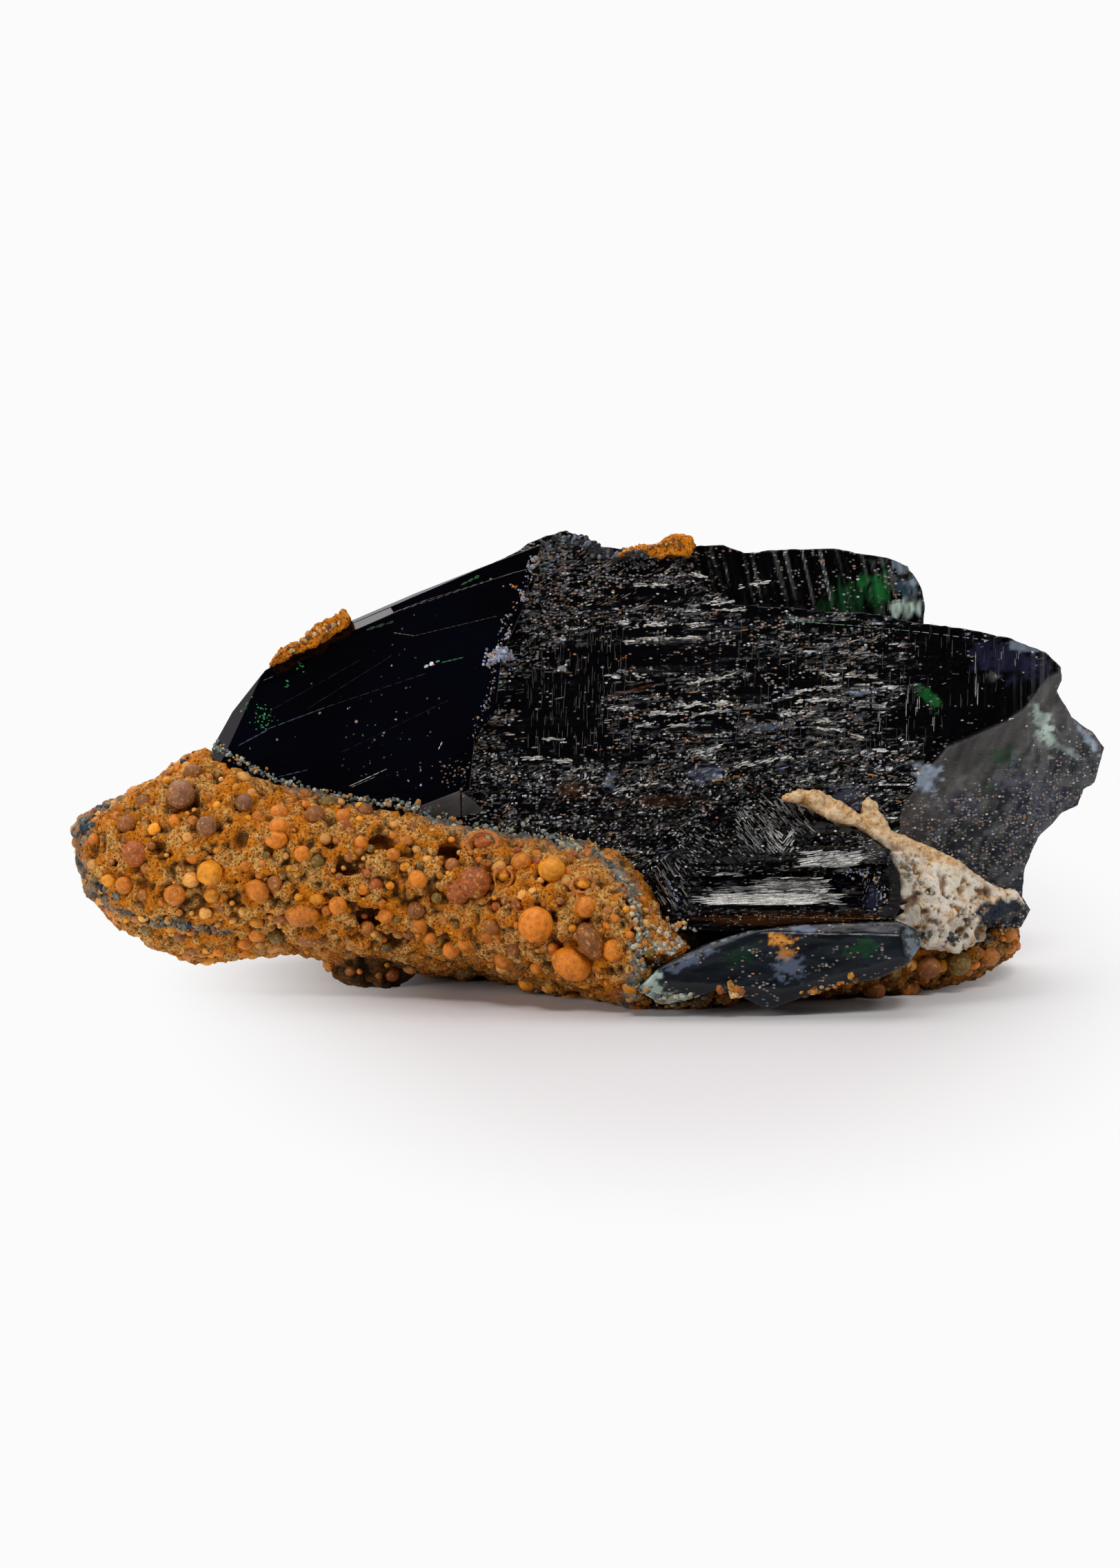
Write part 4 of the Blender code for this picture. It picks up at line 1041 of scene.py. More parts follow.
# %% [markdown]
# Each point of the rock's skin moves along its normal by the cement's lumps and pores, by a raised rim and a moat round
# every ball, and into the listed pits. How deep it lies in pores and pits is stored, and the finish paints shade there.

# %% Roughen the rock
def sunk_places(rows):
    made = []
    for across, up, half_width, half_height in rows:
        place, _ = seen_place(bare_rock, across, up)
        if place is not None:
            made.append((place, half_width, half_height))
    return made


def rock_heights(points):
    """How far each point of the cement moves along its normal, and how deep it lies in pores."""
    lumps = 0.42 * layers(points, 2.6, 301) + 0.40 * layers(points, 1.0, 302)
    holes = grain(points, 0.80, 303) + 0.7 * grain(points, 0.45, 304)
    pores = eased(holes, 0.10, 0.75)
    heights = 0.16 + lumps - 0.75 * pores
    near = KDTree(len(points))
    for index, point in enumerate(points.tolist()):
        near.insert(point, index)
    near.balance()
    for centre, half_width, half_height, *_ in listed + small:
        size = max(half_width, half_height)
        found = near.find_range(centre, size * 1.9)
        index, gap = [i for _, i, _ in found], np.array([d for *_, d in found]) / size
        rim, moat = 0.14 * np.exp(-((gap - 1.45) / 0.16) ** 2), 0.30 * np.exp(-((gap - 1.0) / 0.22) ** 2)
        heights[index] += size * (rim - moat)
    return heights, pores


def sink_pits(points, heights, pores):
    for place, half_width, half_height in sunk_places(PITS):
        off = points - np.array(place[:])
        reach = np.sqrt((off[:, 0] / half_width) ** 2 + (off[:, 1] / 1.6) ** 2 + (off[:, 2] / half_height) ** 2)
        bowl = 1 - eased(reach, 0.55, 1.10)
        heights[:] = heights * (1 - bowl) - 1.5 * min(half_width, half_height) * np.sqrt(bowl)
        # Pit bowls get a high pore value, which the finish paints as shade.
        pores[:] = np.maximum(pores * (1 - bowl), 0.72 * bowl)


def rock_colours(points, pores):
    """Cement tones: red is how ochre, green how dark, blue how far rind covers it. The dark is painted shade in pores
    and pits, along the bottom and under the left foot, and darker rock right of 22 mm across.
    """
    colours = np.zeros((len(points), 4))
    colours[:, 0] = 0.5 + 0.5 * layers(points, 1.8, 305)
    # Painted shade: darker towards the bottom and in the shadow under the left foot; the rock right of 22 mm across is
    # darker too.
    low = eased(3.0 - points[:, 2] + 0.22 * points[:, 0] * (points[:, 0] < -20), 0.0, 5.0)
    foot = np.hypot((points[:, 0] + 20.8) / 4.6, (points[:, 2] - 1.0) / 1.9)
    low += 1.2 * eased(points[:, 0], 22.0, 30.0)
    colours[:, 1] = np.clip(pores * 0.85 + 0.30 * low + 0.85 * (1 - eased(foot, 0.7, 1.15)), 0, 1)
    colours[:, 2] = rind_cover(points)
    colours[:, 3] = 1.0
    return colours


RIND_LINES = [
    ([(-50.0, 13.1), (-48.0, 16.4), (-44.7, 19.7)], 1.6), ([(-49.6, 12.6), (-48.4, 9.6), (-46.4, 7.4)], 1.1),
    ([(-44.7, 19.7), (-40.7, 22.0), (-36.7, 23.3), (-34.1, 22.0), (-30.1, 19.4), (-26.1, 18.4), (-20.8, 17.4),
      (-17.5, 17.2)], 0.8),
    ([(-46.4, 7.9), (-42.7, 6.2), (-38.0, 5.4), (-34.7, 5.1)], 0.6),
    ([(-17.5, 17.2), (-14.2, 15.7), (-10.2, 14.4), (-5.6, 14.1), (-1.6, 13.4), (1.7, 11.7), (4.0, 9.1), (5.0, 5.8),
      (4.7, 1.8), (3.4, -1.5)], 1.1),
]


def rind_cover(points):
    """1 on the pale rind along the crystals' feet and round the left end."""
    cover = np.zeros(len(points))
    for line, width in RIND_LINES:
        for (a0, u0), (a1, u1) in zip(line, line[1:]):
            length = math.hypot(a1 - a0, u1 - u0)
            t = np.clip(((points[:, 0] - a0) * (a1 - a0) + (points[:, 2] - u0) * (u1 - u0)) / length**2, 0, 1)
            gap = np.hypot(points[:, 0] - a0 - t * (a1 - a0), points[:, 2] - u0 - t * (u1 - u0))
            cover = np.maximum(cover, 1 - gap / width)
    front = 1 - eased(points[:, 1], 0.0, 6.0)
    return np.clip(cover + 0.6 * layers(points, 1.0, 306) - 0.1, 0, 1) * (cover > 0) * front


rock_points = points_of(rock_mesh)
heights, pores = rock_heights(rock_points)
sink_pits(rock_points, heights, pores)
paint(rock_mesh, "cement", rock_colours(rock_points, pores))
grown = to_part(rock_points + normals_of(rock_mesh) * heights[:, None])
grown[:, 2] = np.maximum(grown[:, 2], 0.0)
set_points(rock_mesh, grown)

# %% [markdown]
# The cement's finish mixes three ochres by the tones stored on the skin, goes dark where they say, a painted shade in
# the pores and pits, along the bottom and under the left foot, and grey-green under the rind, and adds what is too
# small for the skin: pin-prick pores, painted dark as shade, and a fine crumb in the bump.

# %% Ochre cement
def ochre_cement():
    material, tree = new_finish("ochre_cement", 1.45, mirror=0.2)
    tones = put(tree, "ShaderNodeSeparateColor", [("Color", tone(tree, "cement"))])
    where = laid_out(tree)
    crumb = cloudy(tree, where, 3.4, 5.0, 0.72)
    spots = cloudy(tree, where, 0.9, 2.0)
    sand = stepped(tree, crumb, [
        (0.33, (0.045, 0.015, 0.003)), (0.42, (0.40, 0.145, 0.018)), (0.50, (0.78, 0.36, 0.07)),
        (0.60, (0.90, 0.54, 0.20)), (0.72, (0.95, 0.72, 0.42)),
    ])
    clay = stepped(tree, crumb, [
        (0.33, (0.15, 0.040, 0.004)), (0.44, (0.62, 0.180, 0.006)), (0.58, (0.88, 0.280, 0.008)),
        (0.78, (0.95, 0.44, 0.05)),
    ])
    shift = sums(tree, "ADD", sums(tree, "MULTIPLY", spots, 0.8), sums(tree, "MULTIPLY", tones.outputs["Red"], 0.5))
    ochre = mixed(tree, stepped(tree, shift, [(0.56, 0.0), (0.72, 1.0)]), sand, clay)
    # Pin-prick pores, painted dark: a painted shade in hollows too small for the skin.
    pins = stepped(tree, cells_at(tree, where, 3.2), [(0.16, 1.0), (0.30, 0.0)])
    dark = mixed(tree, sums(tree, "MULTIPLY", pins, 0.85), ochre, (0.022, 0.009, 0.004))
    # Painted shade where the stored tone is dark: pores, pits, the bottom and under the left foot, with the darker rock
    # to the right.
    deep = mixed(tree, tones.outputs["Green"], dark, (0.050, 0.026, 0.010))
    rind = stepped(tree, cloudy(tree, where, 1.1, 4.0), [
        (0.32, (0.03, 0.04, 0.05)), (0.50, (0.15, 0.18, 0.17)), (0.64, (0.34, 0.38, 0.34)), (0.78, (0.40, 0.20, 0.06))])
    relief = sums(tree, "SUBTRACT", crumb, sums(tree, "MULTIPLY", pins, 0.4))
    return wired(material, mixed(tree, tones.outputs["Blue"], deep, rind), bumped(tree, relief, 0.45, 0.9),
                 stepped(tree, crumb, [(0.35, 0.95), (0.75, 0.60)]))


cement = ochre_cement()
rock = place_piece("spongy_ironstone", rock_mesh, cement, smooth=True, in_face_frame=False)
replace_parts(rock, "ironstone_matrix")

# %% [markdown]
# An ooid is waxy: smooth, with a soft highlight and faint growth rings. Its tone is stored on its points, so one
# finish serves the orange ones, the brown, the red and the olive.

# %% Waxy ooids
OOID_TONES = [
    (0.76, 0.215, 0.008), (0.92, 0.330, 0.010), (0.36, 0.115, 0.020), (0.40, 0.090, 0.012), (0.26, 0.100, 0.040),
    (0.18, 0.110, 0.018), (0.82, 0.380, 0.080), (0.60, 0.190, 0.022),
]


def waxy_ooid():
    material, tree = new_finish("waxy_ooid", 1.5, mirror=0.35)
    where = laid_out(tree)
    mottle = stepped(tree, cloudy(tree, where, 1.5, 5.0, 0.7), [(0.30, 0.45), (0.55, 1.0), (0.80, 1.25)])
    body = mixed(tree, 1.0, tone(tree, "wax"), mottle, "MULTIPLY")
    spots = stepped(tree, cells_at(tree, where, 3.4), [(0.10, 0.8), (0.18, 0.0)])
    sand = stepped(tree, cloudy(tree, where, 3.0, 4.0, 0.7), [(0.56, 0.0), (0.62, 0.75)])
    coated = mixed(tree, sand, body, (0.62, 0.30, 0.07))
    gloss = stepped(tree, cloudy(tree, where, 3.0, 3.0), [(0.35, 0.34), (0.75, 0.65)])
    bump = bumped(tree, cloudy(tree, where, 3.0, 4.0, 0.7), 0.14, 0.7)
    return wired(material, mixed(tree, spots, coated, (0.16, 0.06, 0.015)), bump, gloss)


def joined_balls(name, balls, subdivisions, rough):
    rng = random.Random(name)
    shapes, shades = [], []
    for centre, half_width, half_height, turn, kind in balls:
        shape = Matrix.Translation(centre) @ Matrix.Rotation(math.radians(-turn), 4, "Y")
        shape @= Matrix.Diagonal((half_width, min(half_width, half_height), half_height, 1.0))
        shapes.append(shape @ Matrix.Rotation(rng.uniform(0, 3.1), 4, "Z"))
        shades.append(np.array(OOID_TONES[kind]) * rng.uniform(0.75, 1.2))
    mesh = many_copies(name, ball(subdivisions), shapes, "wax", np.array(shades))
    points = points_of(mesh)
    set_points(mesh, points + normals_of(mesh) * (rough * layers(points, 0.6, 311))[:, None])
    return mesh


wax = waxy_ooid()
place_piece("large_ooids", joined_balls("large_ooids", listed, 4, 0.07), wax, smooth=True)
place_piece("small_ooids", joined_balls("small_ooids", small, 2, 0.05), wax, smooth=True)

# %% [markdown]
# Three ooids are broken open. Each is a low ring of cement round a hollow.

# %% Broken ooids
def ring_wall(across, up, half_width, half_height, turn):
    """The broken wall of a hollow ooid: a small round section spun into a ring, then bent to an oval."""
    place, _ = seen_place(bare_rock, across, up)
    bm = bmesh.new()
    section = bmesh.ops.create_circle(bm, segments=8, radius=0.17)["verts"]
    bmesh.ops.translate(bm, verts=section, vec=(1.0, 0, 0))
    bmesh.ops.rotate(bm, verts=section, matrix=Matrix.Rotation(math.pi / 2, 3, "X"))
    bmesh.ops.spin(
        bm, geom=bm.edges[:], cent=(0, 0, 0), axis=(0, 0, 1), angle=2 * math.pi, steps=28, use_merge=True)
    shape = Matrix.Translation(place + Vector((0, -0.25, 0))) @ Matrix.Rotation(math.radians(-turn), 4, "Y")
    shape @= Matrix.Diagonal((half_width, 1.1, half_height, 1.0)) @ Matrix.Rotation(math.pi / 2, 4, "X")
    bmesh.ops.transform(bm, matrix=shape, verts=bm.verts)
    return bm


ring_mesh = bpy.data.meshes.new("rings")
rings = bmesh.new()
for row in BROKEN_RINGS:
    one = ring_wall(*row)
    one.to_mesh(ring_mesh)
    one.free()
    rings.from_mesh(ring_mesh)
ring_mesh = mesh_of("rings", rings)
ring_points = points_of(ring_mesh)
set_points(ring_mesh, ring_points + normals_of(ring_mesh) * (0.14 * layers(ring_points, 0.6, 321))[:, None])
paint(ring_mesh, "wax", np.tile((0.55, 0.16, 0.02, 1.0), (len(ring_points), 1)))
place_piece("broken_ooid_walls", ring_mesh, wax, smooth=True)

# %% [markdown]
# Two short crystals lie at the slab's foot. They are cut from the imported solids by an even, fine skin too, and then
# get their cleavage: fibres along them, hackly chips on the broken side, a dark recess, pearly stripes. The recess is
# also painted black, a painted shade, and the stripes' pale slivers and the pale and grey patches under them are a
# painted sheen.

# %% The stub crystal
# The pale patches and the grey one at (19.2, 9.4) under the striped faces are a painted sheen; the black one in the
# recess is a painted shade.
STUB_PATCHES = [
    (17.4, 8.3, 6.2, 0.5, 1, "painted_sheen", 0.35), (19.2, 9.4, 3.2, 0.7, 3, "grey", 0.9),
    (23.3, 12.1, 2.6, 0.6, 6, "painted_sheen", 0.18),
    (27.0, 8.4, 0.8, 1.4, 0, "violet", 0.7), (25.2, 9.0, 1.9, 1.5, 0, "black", 1.0),
    (19.0, 6.3, 9.0, 0.75, 0, "rust", 0.75), (27.2, 12.8, 1.0, 1.0, 0, "grey", 0.4),
]
# Striped faces: across span, up span, turn, count, lengths and glow of their slivers. Their white, scaled by glow, is a
# painted pearly sheen.
STRIPED_FACES = [
    ((10.9, 23.4), (7.7, 8.7), 1, 230, (0.8, 3.6), (0.40, 1.15)),
    ((15.8, 22.6), (8.7, 10.3), 4, 130, (0.5, 2.6), (0.10, 0.90)),
    ((11.0, 16.0), (8.6, 9.4), 2, 50, (0.5, 1.8), (0.02, 0.25)),
    ((12.0, 14.6), (10.4, 10.7), 4, 16, (0.4, 1.4), (0.10, 0.60)),
    ((20.5, 25.9), (11.4, 12.8), 7, 150, (0.5, 2.2), (0.30, 0.95)),
    ((20.3, 24.0), (11.3, 11.6), 2, 24, (0.8, 1.8), (0.60, 1.00)),
    ((10.3, 27.0), (10.6, 11.4), 2, 80, (0.1, 0.7), (0.02, 0.25)),
    ((14.2, 17.5), (12.3, 16.6), -52, 110, (0.3, 1.4), (0.03, 0.50)),
    ((16.6, 21.6), (14.2, 18.0), -46, 130, (0.4, 1.6), (0.04, 0.55)),
    ((17.2, 18.6), (12.6, 14.6), -50, 40, (0.5, 1.4), (0.25, 1.00)),
    ((18.6, 19.6), (12.8, 14.6), 48, 26, (0.4, 1.1), (0.20, 0.90)),
    ((8.4, 14.0), (11.6, 15.0), -38, 70, (0.2, 0.9), (0.03, 0.55)),
    ((5.9, 9.4), (7.4, 11.8), -58, 60, (0.6, 2.2), (0.02, 0.30)),
    ((24.5, 28.0), (12.0, 14.4), 8, 50, (0.2, 0.8), (0.03, 0.45)),
    ((10.5, 28.5), (5.6, 7.2), 0, 70, (0.2, 1.0), (0.02, 0.22)),
    ((26.0, 28.0), (7.4, 10.4), 70, 30, (0.2, 0.8), (0.02, 0.22)),
]


def stub_relief(points):
    across, up = points[:, 0], points[:, 2]
    front = eased(-10.0 - points[:, 1], 0.0, 2.0)
    stripes = 0.08 * shingles(across, up, 0.62, 4.0, 0.03, 331)
    chips = facets(across + 0.8 * up, up, (0.5, 0.9), 0.12, 0.4, 332) * eased(up, 10.6, 11.6)
    left = facets(across + up, up - across, (0.5, 2.4), 0.12, 0.3, 333) * (1 - eased(across, 8.5, 10.5))
    recess = 1.6 * np.exp(-(((across - 25.6) / 2.4) ** 4) - ((up - 8.9) / 1.5) ** 4)
    lean = 0.36 + 0.22 * grain(points, (3.0, 1.0, 0.28), 335)
    shelf = (1.0 - lean * (up - 7.3)) * eased(across, 10.5, 11.0) * (1 - eased(up, 10.5, 10.8))
    shelf = shelf * (1 - eased(across, 23.4, 23.8)) * eased(up, 7.2, 7.5)
    ledge = (0.7 - lean * (up - 11.4)) * eased(across, 20.0, 20.6) * (1 - eased(up, 13.1, 13.4)) * eased(up, 11.3, 11.6)
    hackly = facets(across, up, (1.1, 0.8), 0.30, 0.7, 336) * eased(up, 12.8, 13.8)
    return front * (recess + stripes - chips - left - shelf - ledge - hackly)


def surface_seen(mesh):
    """A depth function for a skin: where the line of sight meets it, or far behind where it doesn't."""
    tree = tree_of([mesh])

    def depth(across, up):
        places = [seen_place(tree, a, u)[0] for a, u in zip(across, up)]
        return np.array([place.y if place is not None else 99.0 for place in places])

    return depth


stub_mesh = remeshed("stub_crystal", 0.20, 1)
stub_points = points_of(stub_mesh)
stub_dust = plain_colours(stub_points, "black", np.clip(0.08 + 0.22 * layers(stub_points, 1.6, 334), 0.01, 0.5))
paint(stub_mesh, "tint", patched(stub_points, stub_dust, STUB_PATCHES, fray=0.45, size=(1.6, 0.8, 0.22)))
stub_points += normals_of(stub_mesh) * 0.14
stub_points[:, 1] += stub_relief(stub_points)
set_points(stub_mesh, stub_points)
stub_surface = surface_seen(stub_mesh)
sooty = striated_vivianite("sooty_vivianite", mirror=0.06)
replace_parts(place_piece("stub_cleavage", stub_mesh, sooty), "stub_crystal")

# %% [markdown]
# The flat blade that lies lowest at the front keeps its few even faces. It gets a faint roughness and patches of
# colour.

# %% The front blade
FOOT_PATCHES = [
    (14.6, 3.0, 1.8, 0.7, 20, "leaf", 0.30), (26.4, 3.6, 1.7, 0.8, 12, "leaf", 0.55),
    (18.4, 4.3, 1.2, 0.55, 0, "amber", 0.95),
    (18.8, 3.0, 0.9, 0.5, 20, "amber", 0.6), (19.0, 1.7, 1.5, 1.1, 0, "blue_grey", 0.6),
    (9.6, 2.2, 3.2, 0.40, 28, "blue_grey", 0.6),
    (12.4, 4.4, 3.0, 0.30, 16, "pale_blue", 0.45), (5.6, 0.2, 1.3, 1.3, 0, "pale_green", 0.6),
    (30.8, 3.6, 0.5, 1.6, 20, "pale_blue", 0.35),
    (24.5, -0.2, 3.6, 0.25, 15, "blue_grey", 0.6), (8.0, -1.2, 2.4, 0.5, 0, "pale_green", 0.6),
    (24.0, 5.5, 5.5, 0.35, 0, "grey", 0.6),
    (20.5, 5.3, 1.6, 0.30, 0, "blue_grey", 0.8),
]
foot_mesh = remeshed("front_blade", 0.22, 1)
foot_points = points_of(foot_mesh)
foot_tint = plain_colours(foot_points, "slate", np.clip(0.05 + 0.25 * layers(foot_points, 1.8, 341), 0.02, 0.4))
foot_slant = foot_points - np.outer(foot_points[:, 0], (0, 0, 0.3))
foot_tint[:, :3] *= (0.65 + 0.45 * layers(foot_slant, (4.0, 2.0, 0.8), 343))[:, None]
paint(foot_mesh, "tint", patched(foot_points, foot_tint, FOOT_PATCHES, fray=1.1, size=(0.5, 0.5, 0.3)))
foot_points += normals_of(foot_mesh) * (0.14 + 0.05 * layers(foot_points, (2.0, 1.0, 0.7), 342))[:, None]
set_points(foot_mesh, foot_points)
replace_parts(place_piece("foot_blade", foot_mesh, slaty, smooth=True), "front_blade")

# %% [markdown]
# The fossil is chalk: pale, matt and eaten into by rusty pores. Its upper tongue is tan and smoother.

# %% The chalky fossil
def chalk():
    material, tree = new_finish("rusty_chalk", 1.4, 0.92)
    tones = put(tree, "ShaderNodeSeparateColor", [("Color", tone(tree, "chalk"))])
    where = laid_out(tree)
    crumb = cloudy(tree, where, 1.7, 6.0, 0.75)
    pale = stepped(tree, crumb, [
        (0.31, (0.16, 0.070, 0.022)), (0.38, (0.62, 0.36, 0.14)), (0.46, (0.93, 0.82, 0.66)),
        (0.70, (0.99, 0.95, 0.88))])
    warm = stepped(tree, crumb, [
        (0.33, (0.20, 0.085, 0.02)), (0.43, (0.66, 0.34, 0.11)), (0.55, (0.88, 0.64, 0.38)),
        (0.72, (0.97, 0.87, 0.70))])
    tan = mixed(tree, tones.outputs["Red"], pale, warm)
    rusty = mixed(tree, tones.outputs["Green"], tan, (0.30, 0.125, 0.030))
    blue = stepped(tree, crumb, [
        (0.40, (0.008, 0.010, 0.016)), (0.62, (0.030, 0.045, 0.075)), (0.78, (0.12, 0.16, 0.20))])
    return wired(material, mixed(tree, tones.outputs["Blue"], rusty, blue), bumped(tree, crumb, 0.35, 0.9))


shell_mesh = remeshed("shell_fossil", 0.22, 3)
shell_points = points_of(shell_mesh)
body = 1 - eased(shell_points[:, 2] + 0.35 * (shell_points[:, 0] - 28.0), 12.5, 15.0)
holes = grain(shell_points, 0.9, 351) + 0.8 * grain(shell_points, 0.42, 352)
eaten = eased(holes, 0.25, 0.85) * (0.25 + 0.75 * body)
lump = np.hypot((shell_points[:, 0] - 40.0) / 3.2, (shell_points[:, 2] - 6.3) / 1.9)
lump += 0.4 * layers(shell_points, 0.8, 356)
tints = np.stack([
    np.clip(1.1 * (1 - body) + 0.8 * eased(layers(shell_points, 1.4, 357), 0.2, 0.6), 0, 1),
    np.clip(0.8 * eaten + 0.6 * eased(layers(shell_points, 3.0, 353), 0.30, 0.7), 0, 0.9),
    1 - eased(lump, 0.75, 1.05), 0 * body + 1], axis=1)
paint(shell_mesh, "chalk", tints)
swell = 0.50 * layers(shell_points, 2.0, 354) + 0.30 * layers(shell_points, 0.7, 355)
lift = 0.10 + body * swell - 0.75 * eaten * body
lift += 0.38 * (1 - body) * layers(shell_points, (0.9, 0.6, 0.6), 358)
set_points(shell_mesh, shell_points + normals_of(shell_mesh) * lift[:, None])
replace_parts(place_piece("chalky_shell", shell_mesh, chalk(), smooth=True), "shell_fossil")

# %% [markdown]
# Two crumbs of ironstone stick to the crystal's top edge. They take the rock's own finish.

# %% Crumbs of ore on the crystal's edge
for node_name in ("ore_scab_left", "ore_scab_top"):
    scab_mesh = remeshed(node_name, 0.16, 2)
    scab_points = points_of(scab_mesh)
    holes = eased(grain(scab_points, 0.6, 361), 0.25, 0.8)
    # Painted shade: the holes get a dark tone, which the cement finish paints as shade.
    scab_tones = np.stack([0.75 + 0.3 * layers(scab_points, 1.0, 362), 0.5 * holes, 0 * holes, 0 * holes + 1], axis=1)
    paint(scab_mesh, "cement", scab_tones)
    lift = -0.04 + 0.45 * layers(scab_points, 0.9, 363) - 0.35 * holes
    set_points(scab_mesh, scab_points + normals_of(scab_mesh) * lift[:, None])
    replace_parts(place_piece(node_name + "_crumb", scab_mesh, cement, smooth=True), node_name)

# %% [markdown]
# What makes the striated face sparkle is small: the broken ends of cleavage sheets, each a sliver that catches the
# light. A sliver here is a squashed ball of twenty faces laid on the skin. Those that the photograph shows are listed,
# in rows, and thousands more follow the same wavy lines as the skin's dust.

# %% Slivers
# Painted glints: the white and cream slivers' pale colour stands in for the light their cleavage catches, on top of
# their own gloss.
GLINT_WHITE, GLINT_CREAM, ASH = (0.80, 0.80, 0.76), (0.62, 0.52, 0.38), (0.20, 0.19, 0.18)
SKY, AMBER = (0.22, 0.30, 0.55), (0.62, 0.26, 0.05)


def sliver(surface, across, up, length, height, turn, thick=0.045):
    """A sliver's place: its centre just proud of a surface, its long axis turned up from the horizontal."""
    depth = float(surface(np.array([across]), np.array([up]))[0])
    shape = Matrix.Translation((across, depth - 0.02, up)) @ Matrix.Rotation(math.radians(-turn), 4, "Y")
    return shape @ Matrix.Diagonal((length / 2, thick, height / 2, 1.0))


def sliver_line(surface, start, end, height, shade, rng, pieces=1):
    """Slivers in a row from one place to another."""
    made = []
    run, climb = end[0] - start[0], end[1] - start[1]
    turn = math.degrees(math.atan2(climb, run))
    for i in range(pieces):
        t = (i + 0.5) / pieces
        length = math.hypot(run, climb) / pieces * rng.uniform(0.9, 1.25)
        across, up = start[0] + t * run, start[1] + t * climb
        shape = sliver(surface, across, up, length, height * rng.uniform(0.7, 1.2), turn)
        made.append((shape, np.array(shade) * rng.uniform(0.6, 1.1)))
    return made


# Rows of white dashes on the slab: across from, across to, up and tilt. Their slivers are painted glints.
WHITE_ROWS = [
    (2.7, 4.0, 34.8, 0), (5.3, 8.1, 34.7, 0), (9.4, 11.5, 34.6, 0), (3.6, 7.7, 33.2, 2), (8.8, 10.7, 33.3, 0),
    (12.0, 14.0, 36.8, 0), (12.4, 15.1, 36.0, 0), (1.8, 2.9, 29.6, 0), (4.4, 5.5, 29.6, 0), (9.6, 13.9, 29.3, 7),
    (9.4, 11.2, 29.1, 20), (2.0, 4.2, 26.6, 0), (8.5, 13.3, 26.9, 2), (5.1, 10.0, 26.0, 0), (9.9, 13.4, 26.1, 9),
    (4.8, 5.9, 24.9, 0), (7.8, 9.5, 24.9, 5), (-4.6, -2.3, 23.5, -6), (22.5, 24.3, 29.8, -3), (24.7, 26.2, 29.7, -3),
    (26.9, 27.5, 29.6, 0), (20.0, 24.2, 28.4, 6), (20.0, 23.9, 27.3, 3), (18.3, 21.7, 26.0, 2), (22.0, 24.5, 25.2, -4),
    (22.0, 24.5, 24.5, -6), (24.9, 26.3, 23.7, -6), (9.3, 11.3, 39.4, -7), (4.6, 7.8, 38.4, 0), (14.6, 17.2, 38.5, 3),
    (-6.4, -1.5, 21.6, -5), (14.0, 19.5, 21.4, 9), (3.0, 6.5, 19.0, 12), (20.5, 24.0, 20.0, 14), (10.5, 13.0, 22.6, 10),
]
UPRIGHT_ROWS = [
    (37.3, 26.5, 31.0, 0.16), (30.7, 23.5, 27.5, 0.13), (31.7, 25.6, 27.7, 0.10), (33.2, 24.0, 25.7, 0.10),
    (27.9, 24.3, 25.6, 0.12), (28.2, 22.7, 23.3, 0.10), (39.9, 31.0, 32.2, 0.08), (41.3, 30.8, 31.9, 0.08),
]


def seen_slivers():
    rng = random.Random(31)
    made = []
    for low, high, up, tilt in WHITE_ROWS:
        climb = math.tan(math.radians(tilt + 2))
        for _ in range(max(5, round((high - low) * 7.0))):
            t = rng.random()
            a, u = low + t * (high - low), up + (t - 0.5) * (high - low) * climb + rng.gauss(0, 0.11)
            shade = rng.choice((GLINT_WHITE, GLINT_WHITE, GLINT_WHITE, GLINT_CREAM, ASH))
            length, height = rng.uniform(0.25, 0.95), rng.uniform(0.08, 0.20)
            shape = sliver(slab_front, a, u, length, height, tilt + rng.gauss(2, 5))
            made.append((shape, np.array(shade) * rng.uniform(0.55, 1.1)))
    for across, low, high, width in UPRIGHT_ROWS:
        for _ in range(4):
            a, t = across + rng.gauss(0, 0.10), rng.random()
            length = rng.uniform(0.5, 1.0) * (high - low)
            shape = sliver(slab_front, a, low + t * (high - low), length, width * 0.6, 88)
            made.append((shape, np.array(ASH) * rng.uniform(0.8, 2.2)))
    made += sliver_line(slab_front, (18.6, 35.0), (25.5, 34.5), 0.10, (0.03, 0.20, 0.07), rng, 9)
    made += sliver_line(slab_front, (25.5, 34.5), (30.9, 34.0), 0.07, (0.02, 0.10, 0.05), rng, 6)
    # The blue-grey line along the lower layer's top edge is a painted highlight.
    made += sliver_line(slab_front, (31.0, 34.0), (38.6, 33.1), 0.09, (0.20, 0.30, 0.32), rng, 8)
    return made


